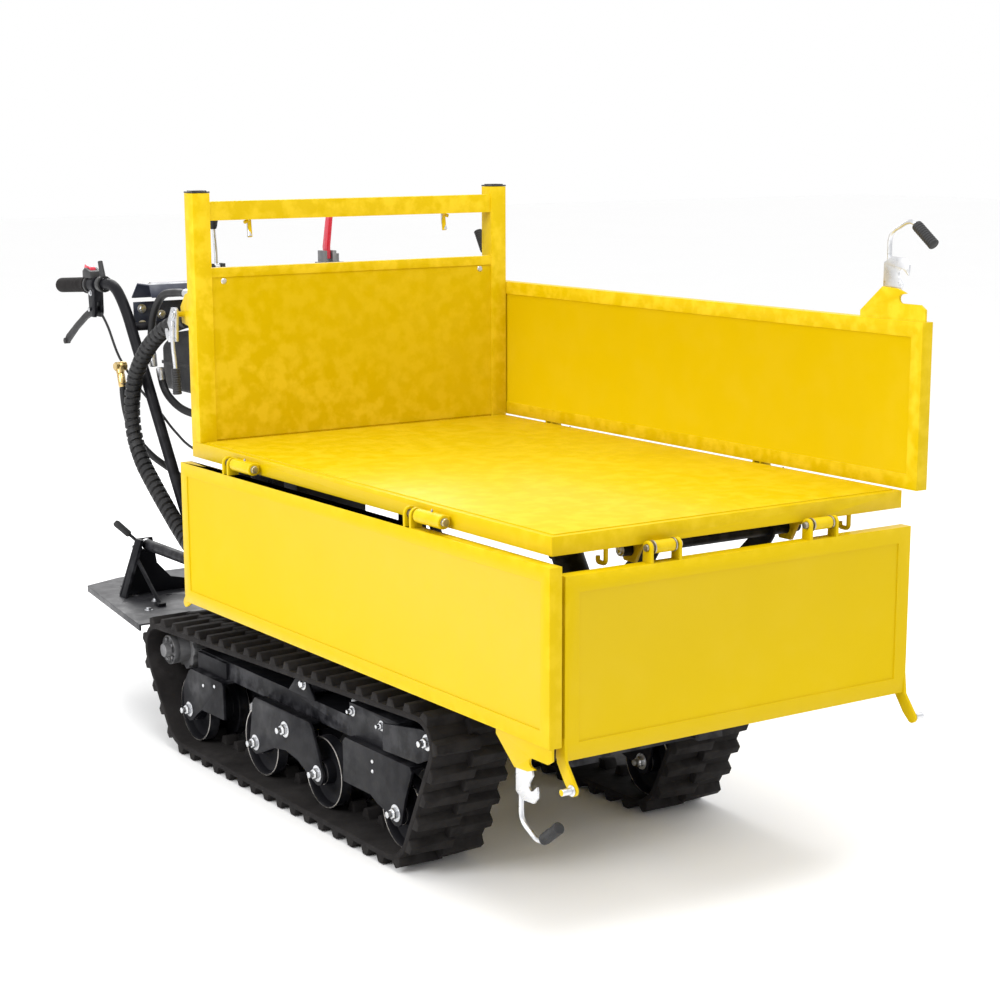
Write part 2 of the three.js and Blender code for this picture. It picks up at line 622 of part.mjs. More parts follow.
// Geometry made on the side +X, carried to a side and hanging down or standing up.
function place(geometry, sign, hanging) {
  const mirrored = geometry.clone();
  if (hanging) {
    mirrored.translate(-SIDE_HINGE_X, 0, -SIDE_HINGE_Z).rotateY(Math.PI).translate(SIDE_HINGE_X, 0, SIDE_HINGE_Z);
  }
  return sign < 0 ? mirrored.scale(-1, 1, 1) : mirrored;
}

function sidePanel(sign, hanging) {
  const { solids, cuts } = sidePanelSolids();
  const put = (geometry) => place(geometry, sign, hanging);
  return piece(`side_panel_${sign < 0 ? 'left' : 'right'}`, yellow, solids.map(put), cuts.map(put));
}

// The hanging front panel with its hinge ears and the two catch arms on its lower corners.
function frontPanel() {
  const face = FRONT_HINGE_Y - PANEL_THICK / 2;
  const back = face + PANEL_THICK;
  const low = FRONT_TOP - FRONT_HEIGHT;
  const pin = [2 * FRONT_HINGE_Y - CATCH_PIN[0], 2 * FRONT_HINGE_Z - CATCH_PIN[1]];
  const ear = [
    [face + 1, FRONT_TOP - 5], ...arc(FRONT_HINGE_Y, FRONT_HINGE_Z, 12, 200, -20, 7), [back - 1, FRONT_TOP - 5],
  ];
  const arm = [[face + 1, low + 40], [back - 4, low + 40], [back - 4, low - 6], [pin[0] + 22, pin[1] + 6],
    ...arc(pin[0], pin[1], 11, -30, -200, 5), [face - 4, low - 2]];
  const solids = [block(-FRONT_HALF, FRONT_HALF, face, back, low, FRONT_TOP)];
  const cuts = [
    block(-FRONT_HALF + 30, FRONT_HALF - 30, face - 5, face + 3, low + 30, FRONT_TOP - 30),
    block(-FRONT_HALF + 30, FRONT_HALF - 30, back - 3, back + 5, low + 30, FRONT_TOP - 30),
  ];
  for (const s of [-1, 1]) {
    const plate = (outline, near, far) => (s < 0 ? plateX(outline, -far, -near) : plateX(outline, near, far));
    solids.push(
      plate(ear, 147, 153),
      plate(ear, 209, 215),
      plate(arm, 390, 396),
      bar([s * 391, ...pin], [s * 419, ...pin], 6, 8),
    );
    cuts.push(bar([s * 140, FRONT_HINGE_Y, FRONT_HINGE_Z], [s * 220, FRONT_HINGE_Y, FRONT_HINGE_Z], bore(6, 8), 8));
  }
  return piece('front_panel', yellow, solids, cuts);
}

// Front latch: hook plate, pivot eye, bent rod and grip. Made standing up at the side +X; forward is -Y.
function frontLatch(sign, hanging) {
  const [y, z] = FRONT_LATCH_PIVOT;
  const at = (forward, up) => [y - forward, z + up];
  const hook = [at(-10, -14), at(12, -14), at(50, 6), at(52, 34), at(56, 56), at(44, 70), at(10, 72), at(-10, 60)];
  const catchAt = [36.9, 41];
  const slot = [];
  for (const [along, across] of [[0, 8.5], [40, 8.5], [40, -18], [0, -8.5], [-7, -5], [-7, 5]]) {
    slot.push(at(catchAt[0] + 0.743 * along + 0.669 * across, catchAt[1] - 0.669 * along + 0.743 * across));
  }
  const rodX = 421.5;
  const rod = [[rodX, ...at(-2, 14)], [rodX, ...at(-4, 113)], [rodX, ...at(50, 140)], [rodX, ...at(106, 98)]];
  const grip = bar([rodX, ...at(64, 129.5)], [rodX, ...at(108, 96.5)], 9, 10, 12);
  const put = (geometry) => place(geometry, sign, hanging);
  return piece(`latch_front_${sign < 0 ? 'left' : 'right'}`, zinc, [
    plateX(hook, 414, 418.5),
    bentTube(rod, 4.5, 16, 6, 2),
    grip,
  ].map(put), [
    plateX(slot, 405, 430),
    bar([400, y, z], [430, y, z], bore(6, 8), 8),
  ].map(put));
}

// Rear latch: a shorter hook plate with a straight rod and grip. It hangs, or is turned up over its catch.
function rearLatch(sign, latched) {
  const [y, z] = REAR_LATCH_PIVOT;
  const at = (back, down) => [y + back, z - down];
  const hook = [at(-12, -14), at(12, -14), at(28, 8), at(46, 38), at(30, 62), at(-8, 58)];
  const slot = [];
  const angle = THREE.MathUtils.degToRad(42);
  const reach = Math.hypot(REAR_CATCH[0] - y, REAR_CATCH[1] - z);
  for (const [along, across] of [[0, 7.5], [40, 7.5], [40, -18], [0, -7.5], [-6, -4], [-6, 4]]) {
    slot.push(at(
      reach * Math.sin(angle) + Math.cos(angle) * along + Math.sin(angle) * across,
      reach * Math.cos(angle) - Math.sin(angle) * along + Math.cos(angle) * across,
    ));
  }
  const closing = latched ? Math.PI - angle + Math.atan2(y - REAR_CATCH[0], REAR_CATCH[1] - z) : 0;
  const rodX = 423.5;
  const rod = [[rodX, ...at(0, 14)], [rodX, ...at(4, 60)], [rodX, ...at(-6, 110)], [rodX, ...at(-12, 160)]];
  const put = (geometry) => place(
    geometry.clone().translate(0, -y, -z).rotateX(closing).translate(0, y, z), sign, false,
  );
  return piece(`latch_rear_${sign < 0 ? 'left' : 'right'}`, zinc, [
    plateX(hook, 414, 420.5),
    bentTube(rod, 4.5, 16, 6, 2),
    bar([rodX, ...at(-6, 116)], [rodX, ...at(-12, 172)], 9, 10, 11),
  ].map(put), [
    plateX(slot, 405, 430),
    bar([400, y, z], [430, y, z], bore(6, 8), 8),
  ].map(put));
}

// ---------- tip cylinder ----------
const CYLINDER_LENGTH = Math.hypot(CYLINDER_EYE[0] - CYLINDER_BASE[0], CYLINDER_EYE[1] - CYLINDER_BASE[1]);

// A point on the cylinder's axis at a distance from the lower pivot.
function onCylinder(distance) {
  const share = distance / CYLINDER_LENGTH;
  return [0, 1].map((k) => CYLINDER_BASE[k] + (CYLINDER_EYE[k] - CYLINDER_BASE[k]) * share);
}

function cylinderBarrel() {
  const mouth = CYLINDER_LENGTH - 62;
  return piece('cylinder_barrel', black, [
    bar([-24, ...CYLINDER_BASE], [24, ...CYLINDER_BASE], 26, 14),
    bar([0, ...onCylinder(16)], [0, ...onCylinder(mouth)], 32, 14),
    bar([0, ...onCylinder(mouth - 30)], [0, ...onCylinder(mouth + 8)], 36, 14),
  ], [
    bar([-30, ...CYLINDER_BASE], [30, ...CYLINDER_BASE], 12 + RUN, 12),
    bar([0, ...onCylinder(50)], [0, ...onCylinder(mouth + 20)], 16 + RUN, 14),
  ]);
}

// The rod's eye is wide, so that the bed's pin stays inside it over the whole stroke.
function cylinderRod() {
  return piece('cylinder_rod', steel, [
    bar([0, ...onCylinder(60)], [0, ...onCylinder(CYLINDER_LENGTH - 24)], 16, 14),
    bar([-20, ...CYLINDER_EYE], [20, ...CYLINDER_EYE], 32, 16),
  ], [bar([-30, ...CYLINDER_EYE], [30, ...CYLINDER_EYE], 21, 16)]);
}

// ---------- operator end ----------
const HANDLE_CORNERS = [[GRIP_X, 2218, 1018], [GRIP_X, 1910, 1038], [GRIP_X, 1850, 985], [GRIP_X, 1480, 410.4]];

function handlebarFrame() {
  const solids = [
    bar([-GRIP_X, 1480, 410.4], [GRIP_X, 1480, 410.4], 16, 10),
    bar([-GRIP_X, 1822, 942], [GRIP_X, 1822, 942], 10, 8),
  ];
  for (const s of [-1, 1]) {
    solids.push(
      bentTube(HANDLE_CORNERS.map(([x, y, z]) => [s * x, y, z]), TUBE_R, 60, 10, 3),
      // lever perch below the tube
      plateX([[2004, 1032], [2041, 1030], [2041, 960], [2034, 952], [2004, 956]], s * GRIP_X - 12, s * GRIP_X + 12),
    );
  }
  const levers = bothSides((s) => block(s * GRIP_X - 4.5, s * GRIP_X + 4.5, 2022, 2100, 940, 985));
  const pins = bothSides((s) => bar([s * GRIP_X - 14, ...LEVER_PIVOT], [s * GRIP_X + 14, ...LEVER_PIVOT], 4, 8));
  const frame = piece('handlebar_frame', black, solids, levers);
  return piece('handlebar_frame', black, [frame.geometry, ...pins]);
}

const LEVER_PIVOT = [2032, 970];

function handGrip(sign) {
  const x = sign * GRIP_X;
  const from = [x, 2060, 1028.3];
  const to = [x, 2231, 1017.1];
  return piece(`hand_grip_${sign < 0 ? 'left' : 'right'}`, rubber, [
    bar(from, to, 18, 12),
    bar([x, 2060, 1028.3], [x, 2066, 1027.9], 22, 12),
  ], [bar([x, 2050, 1028.9], [x, 2224, 1017.6], TUBE_R + 1.2, 12)]);
}

function clutchLever(sign) {
  const x = sign * GRIP_X;
  const [y, z] = LEVER_PIVOT;
  const outline = [[y - 8, z + 5], [y + 8, z + 7], [y + 60, z - 14], [y + 120, z - 44], [y + 178, z - 76],
    [y + 190, z - 88], [y + 184, z - 98], [y + 170, z - 94], [y + 112, z - 58], [y + 52, z - 28], [y, z - 10]];
  return piece(`clutch_lever_${sign < 0 ? 'left' : 'right'}`, plastic, [
    plateX(outline, x - 3.5, x + 3.5),
    bar([x - 7, y + 183, z - 91], [x + 7, y + 183, z - 91], 7.5, 12),
  ], [bar([x - 20, y, z], [x + 20, y, z], 4 + RUN, 10)]);
}

// Switch pod on the left bar, with a slot for its red rocker.
function switchPod() {
  return piece('switch_pod', plastic, [
    bar([-GRIP_X, 2043, 1029.4], [-GRIP_X, 2052, 1028.8], 22, 14),
    plateX([[2010, 1046], [2060, 1046], [2060, 1062], [2046, 1070], [2016, 1062]], -GRIP_X - 16, -GRIP_X + 16),
    block(-GRIP_X - 12, -GRIP_X + 12, 2044, 2054, 1034, 1050),
  ], [
    bar([-GRIP_X, 2000, 1032.2], [-GRIP_X, 2070, 1027.7], TUBE_R + 1.2, 12),
    block(-GRIP_X - 9, -GRIP_X + 9, 2026, 2062, 1054, 1080),
  ]);
}

const ROCKER_PIVOT = [2046, 1062];

function switchRocker() {
  const [y, z] = ROCKER_PIVOT;
  return piece('switch_rocker', red, [
    plateX([[y - 15, z - 5], [y + 13, z - 5], [y + 24, z + 6], [y + 18, z + 16], [y - 12, z + 9]],
      -GRIP_X - 8, -GRIP_X + 8),
  ]);
}

const THROTTLE_PIVOT = [1974, 1033.9];

function throttleLever() {
  const [y, z] = THROTTLE_PIVOT;
  return piece('throttle_lever', plastic, [
    bar([-GRIP_X, y - 9, z + 0.6], [-GRIP_X, y + 9, z - 0.6], 20, 14),
    bar([-GRIP_X, y, z + 16], [-GRIP_X, y + 14, z + 54], 7, 10, 6),
  ], [bar([-GRIP_X, y - 20, z + 1.3], [-GRIP_X, y + 20, z - 1.3], TUBE_R + 1.2, 14)]);
}

// Dash panel between the handlebars and the folded hood strip above it.
function consoleCover() {
  const hood = [[1866, 1006], [1866, 1009], [1832, 1043], [1764, 1043], [1750, 1014], [1753, 1013], [1767, 1040],
    [1831, 1040], [1863, 1006]];
  const tabs = [-150, 150].map((x) => block(x - 18, x + 18, 1842, 1846, 980, 1028));
  return piece('console_cover', navy, [
    block(-302, 302, 1842, 1846, 930, 998),
    plateX(hood, -296, 296),
    ...tabs,
  ]);
}

function engineBlock() {
  return piece('engine_block', black, [
    block(-120, 130, 1508, 1690, 402 + GAP, 620),
    block(-90, 100, 1520, 1670, 610, 760),
    bar([20, 1690, 560], [20, 1742, 560], 92, 16),
    block(-60, 90, 1530, 1600, 750, 782),
  ]);
}

function fuelTank() {
  const half = [[268, 800], [270, 812], [270, 900], [240, 930], [150, 936]];
  const outline = [...half, ...half.map(([x, z]) => [-x, z]).reverse()];
  return piece('fuel_tank', plastic, [
    plateY(outline, 1452, 1764),
    bar([90, 1560, 930], [90, 1560, 962], 28, 10),
    block(-60, 60, 1520, 1640, 784, 804),
  ]);
}

function silencer() {
  return piece('silencer', steel, [
    bar([185, 1470, 660], [185, 1650, 660], 46, 14),
    bar([185, 1640, 660], [185, 1690, 690], 12, 10),
    block(130 + GAP, 160, 1520, 1560, 590, 640),
  ]);
}

function hydraulicTank() {
  return piece('hydraulic_tank', black, [
    block(-232, -132, 1508, 1640, 402 + GAP, 600),
    bar([-182, 1540, 598], [-182, 1540, 624], 20, 10),
    bar([-182, 1600, 598], [-182, 1600, 640], 14, 8),
  ]);
}

const VALVE_PIVOT = [1800, 1092];
const GEAR_PIVOT = [1800, 1074];

function valveBody() {
  return piece('valve_body', castMetal, [
    block(180, 238, 1776, 1824, 1043 + GAP, 1076),
    block(184, 194, 1784, 1816, 1070, 1104),
    block(210, 220, 1784, 1816, 1070, 1104),
    bar([184, ...VALVE_PIVOT], [220, ...VALVE_PIVOT], 5, 10),
    bar([228, 1800, 1070], [228, 1800, 1096], 7, 10),
  ]);
}

function valveLever() {
  const [y, z] = VALVE_PIVOT;
  return piece('valve_lever', red, [
    plateX([[y - 9, z - 8], [y + 9, z - 8], [y + 14, z + 20], [y - 2, z + 84], [y - 16, z + 132], [y - 30, z + 130],
      [y - 20, z + 80], [y - 8, z + 22]], 197, 207),
  ], [bar([190, y, z], [215, y, z], 5 + RUN, 10)]);
}

function gearLeverBase() {
  return piece('gear_lever_base', plastic, [
    block(-122, -84, 1776, 1824, 1043 + GAP, 1056),
    block(-122, -114, 1788, 1812, 1050, 1084),
    block(-92, -84, 1788, 1812, 1050, 1084),
    bar([-122, ...GEAR_PIVOT], [-84, ...GEAR_PIVOT], 4, 10),
  ]);
}

function gearLever() {
  const [y, z] = GEAR_PIVOT;
  return piece('gear_lever', zinc, [
    bar([-110, y, z], [-96, y, z], 10, 12),
    bentTube([[-103, y, z + 4], [-103, y, z + 36], [-112, y - 8, z + 100]], 4.5, 14, 6, 2),
    bar([-111, y - 7, z + 92], [-114, y - 10, z + 122], 9, 12, 12),
  ], [bar([-120, y, z], [-90, y, z], 4 + RUN, 10)]);
}

const PARKING_PIVOT = [2016, 372];

function parkingLever() {
  const [y, z] = PARKING_PIVOT;
  return piece('parking_lever', black, [
    bar([-246, y, z], [-234, y, z], 10, 12),
    bentTube([[-240, y, z], [-240, y + 6, z + 16], [-262, y + 22, z + 40]], 4, 8, 6, 2),
    bar([-252, y + 15, z + 29], [-282, y + 37, z + 62], 9, 10),
  ], [bar([-260, y, z], [-220, y, z], 5 + RUN, 10)]);
}

const BUNDLE = [[-300, 1408, 990], [-330, 1475, 987], [-348, 1565, 960], [-355, 1655, 908], [-356, 1723, 842],
  [-356, 1753, 772], [-356, 1749, 702], [-356, 1711, 642], [-356, 1649, 592], [-355, 1572, 538],
  [-354, 1508, 496], [-352, 1458, 470], [-330, 1412, 454], [-290, 1386, 446]];

const UPPER_HOSE = [[-288, 1560, 1034], [-288, 1640, 1032], [-288, 1712, 1020], [-288, 1762, 975], [-288, 1782, 915],
  [-288, 1774, 850]];

const LOWER_HOSE = [[-288, 1740, 850], [-288, 1724, 810], [-286, 1690, 782], [-284, 1620, 762], [-262, 1540, 752],
  [-200, 1490, 730], [-150, 1470, 690]];

const BANJO_HOSE = [[-342, 1834, 810], [-341, 1836, 780], [-336, 1834, 735], [-326, 1822, 690], [-300, 1780, 640],
  [-266, 1716, 600], [-244, 1660, 560]];

const CLUTCH_CABLE = [[-318, 1998, 962], [-318, 1960, 930], [-318, 1900, 862], [-316, 1800, 800], [-302, 1720, 750],
  [-298, 1650, 712], [-290, 1570, 680], [-240, 1500, 655], [-180, 1470, 650]];

function banjoHose() {
  return piece('banjo_hose', brass, [
    bar([-356, 1848, 848], [-326, 1848, 848], 11, 12),
    bar([-342, 1848, 846], [-342, 1834, 800], 10, 12, 9),
    hose(BANJO_HOSE, 8),
  ]);
}

// ---------- the whole machine ----------
const machine = new THREE.Group();
machine.position.set(0, -ORIGIN_Y, -GROUND);
machine.add(
  undercarriageSide(-1), undercarriageSide(1),
  chassisFrame(), gearbox(), stepPlate(), stepSupport(),
  loadBed(), headboard(), postCap(-1), postCap(1),
  sidePanel(-1, true), sidePanel(1, false), frontPanel(),
  frontLatch(-1, true), frontLatch(1, false), rearLatch(-1, false), rearLatch(1, true),
  cylinderBarrel(), cylinderRod(),
  handlebarFrame(), handGrip(-1), handGrip(1), clutchLever(-1), clutchLever(1),
  switchPod(), switchRocker(), throttleLever(),
  consoleCover(), engineBlock(), fuelTank(), silencer(), hydraulicTank(),
  valveBody(), valveLever(), gearLeverBase(), gearLever(), parkingLever(),
  piece('hose_bundle', rubber, [hose(BUNDLE, 19, 8, 1)]),
  piece('hydraulic_hose_upper', rubber, [hose(UPPER_HOSE, 9)]),
  piece('hydraulic_hose_lower', rubber, [hose(LOWER_HOSE, 9)]),
  banjoHose(),
  piece('clutch_cable', rubber, [hose(CLUTCH_CABLE, 3, 5, 1)]),
);

export default machine;
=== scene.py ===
"""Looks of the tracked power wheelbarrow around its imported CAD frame. Lengths are in millimetres, counted
along Y from the front edge of the bed and up from just above the ground; point() turns them into metres in
the frame of the row."""

import math

import bmesh
import bpy
from mathutils import Euler, Matrix, Vector


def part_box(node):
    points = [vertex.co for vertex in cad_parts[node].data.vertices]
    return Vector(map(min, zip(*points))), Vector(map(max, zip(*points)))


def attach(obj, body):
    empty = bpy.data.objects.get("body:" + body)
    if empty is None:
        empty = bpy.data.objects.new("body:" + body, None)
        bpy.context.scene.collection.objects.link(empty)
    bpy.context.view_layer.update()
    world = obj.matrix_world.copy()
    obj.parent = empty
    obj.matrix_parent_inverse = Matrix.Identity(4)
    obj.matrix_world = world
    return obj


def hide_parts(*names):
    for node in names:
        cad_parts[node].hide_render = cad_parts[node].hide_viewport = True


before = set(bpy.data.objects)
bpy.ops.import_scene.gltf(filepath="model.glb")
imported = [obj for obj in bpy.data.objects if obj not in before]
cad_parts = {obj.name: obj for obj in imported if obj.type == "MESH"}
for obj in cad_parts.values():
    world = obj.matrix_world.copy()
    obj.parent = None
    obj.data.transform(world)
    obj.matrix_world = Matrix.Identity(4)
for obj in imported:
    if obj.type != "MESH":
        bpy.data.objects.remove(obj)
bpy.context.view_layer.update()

# ---------- dimensions shared with the CAD part ----------
POST_FRONT = 1306.0
BED_TOP = 735.0
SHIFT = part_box("headboard")[0].y * 1000 - POST_FRONT
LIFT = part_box("load_bed")[1].z * 1000 - BED_TOP
SIDE_HINGE = (415.5, BED_TOP - 22)
SIDE_HINGES_Y = (306, 1030)
FRONT_HINGE = (-19.0, BED_TOP - 38)
TILT = (70.0, BED_TOP - 57)
CYLINDER_BASE = (330.0, 300.0)
CYLINDER_EYE = (560.0, 655.0)
TRACK_X = 302.0
WHEEL_R = 76.0
WHEEL_Z = 93.5
WHEELS_Y = (565, 877, 1150, 1476)
IDLER = (447, 265, 44.5)
SPROCKET = (1590, 210, 52.5)
CARRIER = (980, 258, 26)
BELT, LUG, PITCH = 12.0, 18.0, 60.0
GRIP_X = 320.0
HANDLE = [(GRIP_X, 2218, 1018), (GRIP_X, 1910, 1038), (GRIP_X, 1850, 985), (GRIP_X, 1480, 410.4)]
FRONT_LATCH = (72.0, BED_TOP + 354)
REAR_LATCH = (1375.0, BED_TOP + 272)
REAR_CATCH = (1361.0, BED_TOP + 318)


def point(x, y, z):
    return Vector((x, y + SHIFT, z + LIFT)) / 1000


# ---------- materials ----------
def material(name, color, rough, metallic=0.0, spread=0.06, scale=7.0, grain=900.0, bump=0.02,
             wear=None, wear_at=(0.52, 0.60), dust=0.0, coat=0.0, rough_spread=0.1, specular=0.5):
    """Principled surface with mottled colour and roughness, fine grain, worn edges and settled dust."""
    mat = bpy.data.materials.new(name)
    mat.use_nodes = True
    nodes, links = mat.node_tree.nodes, mat.node_tree.links
    shader = nodes["Principled BSDF"]
    shader.inputs["Metallic"].default_value = metallic
    shader.inputs["Coat Weight"].default_value = coat
    shader.inputs["Coat Roughness"].default_value = 0.12
    shader.inputs["Specular IOR Level"].default_value = specular
    place = nodes.new("ShaderNodeTexCoord")

    def noise(size, detail):
        node = nodes.new("ShaderNodeTexNoise")
        node.inputs["Scale"].default_value = size
        node.inputs["Detail"].default_value = detail
        links.new(place.outputs["Object"], node.inputs["Vector"])
        return node.outputs["Fac"]

    def ramp(source, low, high, a, b):
        node = nodes.new("ShaderNodeMapRange")
        node.inputs["From Min"].default_value = low
        node.inputs["From Max"].default_value = high
        node.inputs["To Min"].default_value = a
        node.inputs["To Max"].default_value = b
        links.new(source, node.inputs["Value"])
        return node.outputs["Result"]

    def mix(factor, a, b):
        node = nodes.new("ShaderNodeMix")
        node.data_type = "RGBA"
        links.new(factor, node.inputs["Factor"])
        for value, slot in ((a, node.inputs[6]), (b, node.inputs[7])):
            if isinstance(value, bpy.types.NodeSocket):
                links.new(value, slot)
            else:
                slot.default_value = (*value, 1)
        return node.outputs[2]

    dark = tuple(c * (1 - 1.6 * spread) for c in color)
    light = tuple(min(1, c * (1 + spread) + 0.006) for c in color)
    mottled = mix(ramp(noise(scale, 6), 0.3, 0.7, 0, 1), dark, light)
    fine = mix(ramp(noise(scale * 11, 4), 0.35, 0.75, 0, 0.35), color,
               tuple(c * (1 - 1.8 * spread) for c in color))
    base = mix(ramp(noise(scale * 2.7, 3), 0.4, 0.6, 0.2, 0.8), mottled, fine)
    if wear:
        geometry = nodes.new("ShaderNodeNewGeometry")
        edge = ramp(geometry.outputs["Pointiness"], *wear_at, 0, 0.7)
        spotty = nodes.new("ShaderNodeMath")
        spotty.operation = "MULTIPLY"
        links.new(edge, spotty.inputs[0])
        links.new(ramp(noise(34, 5), 0.42, 0.62, 0, 1), spotty.inputs[1])
        base = mix(spotty.outputs["Value"], base, wear)
    if dust:
        geometry = nodes.new("ShaderNodeNewGeometry")
        split = nodes.new("ShaderNodeSeparateXYZ")
        links.new(geometry.outputs["Normal"], split.inputs[0])
        settle = nodes.new("ShaderNodeMath")
        settle.operation = "MULTIPLY"
        links.new(ramp(split.outputs["Z"], 0.35, 1, 0, dust), settle.inputs[0])
        links.new(ramp(noise(13, 7), 0.35, 0.65, 0.2, 1), settle.inputs[1])
        base = mix(settle.outputs["Value"], base, (0.42, 0.40, 0.37))
    links.new(base, shader.inputs["Base Color"])
    links.new(ramp(noise(scale * 4, 5), 0.3, 0.7, rough - rough_spread, rough + rough_spread),
              shader.inputs["Roughness"])
    relief = nodes.new("ShaderNodeBump")
    relief.inputs["Strength"].default_value = 0.35
    relief.inputs["Distance"].default_value = bump / 100
    links.new(noise(grain, 3), relief.inputs["Height"])
    links.new(relief.outputs["Normal"], shader.inputs["Normal"])
    return mat


YELLOW = material("yellow_paint", (0.57, 0.395, 0.0), 0.36, spread=0.010, grain=260, bump=0.02,
                  wear=(0.70, 0.50, 0.02), coat=0.02, rough_spread=0.03, specular=0.09)
BLACK = material("black_paint", (0.006, 0.006, 0.008), 0.42, spread=0.25, grain=300, bump=0.03,
                 wear=(0.05, 0.05, 0.055), dust=0.006, specular=0.09)
NAVY = material("navy_paint", (0.010, 0.014, 0.034), 0.38, spread=0.25, grain=300, bump=0.03,
                wear=(0.05, 0.06, 0.08),
                dust=0.012, specular=0.4)
GREY = material("grey_paint", (0.020, 0.020, 0.024), 0.45, spread=0.2, grain=300, bump=0.04,
                wear=(0.07, 0.07, 0.075),
                dust=0.02, specular=0.3)
RUBBER = material("rubber", (0.013, 0.0115, 0.0115), 0.8, spread=0.35, scale=14, grain=500, bump=0.12,
                  wear=(0.03, 0.028, 0.027), dust=0.02, specular=0.12)
HOSE = material("hose_rubber", (0.009, 0.009, 0.010), 0.5, spread=0.25, grain=700, bump=0.05,
                wear=(0.05, 0.05, 0.05), specular=0.3)
PLASTIC = material("black_plastic", (0.014, 0.014, 0.015), 0.52, spread=0.2, grain=1100, bump=0.06,
                   wear=(0.05, 0.05, 0.05), dust=0.01, specular=0.35)
RED = material("red_plastic", (0.56, 0.006, 0.035), 0.3, spread=0.08, grain=500, bump=0.02,
               wear=(0.7, 0.10, 0.12),
               coat=0.3)
ZINC = material("zinc", (0.60, 0.61, 0.63), 0.33, metallic=0.95, spread=0.12, scale=22, grain=800, bump=0.04,
                wear=(0.8, 0.8, 0.82))
STEEL = material("steel", (0.36, 0.34, 0.32), 0.36, metallic=0.95, spread=0.2, scale=16, grain=700, bump=0.05,
                 wear=(0.6, 0.58, 0.55))
CAST = material("cast", (0.17, 0.17, 0.175), 0.56, metallic=0.6, spread=0.2, scale=18, grain=420, bump=0.16,
                wear=(0.4, 0.4, 0.4), dust=0.05)
BRASS = material("brass", (0.60, 0.42, 0.16), 0.3, metallic=0.95, spread=0.12, scale=25, grain=800, bump=0.03,
                 wear=(0.8, 0.62, 0.3))


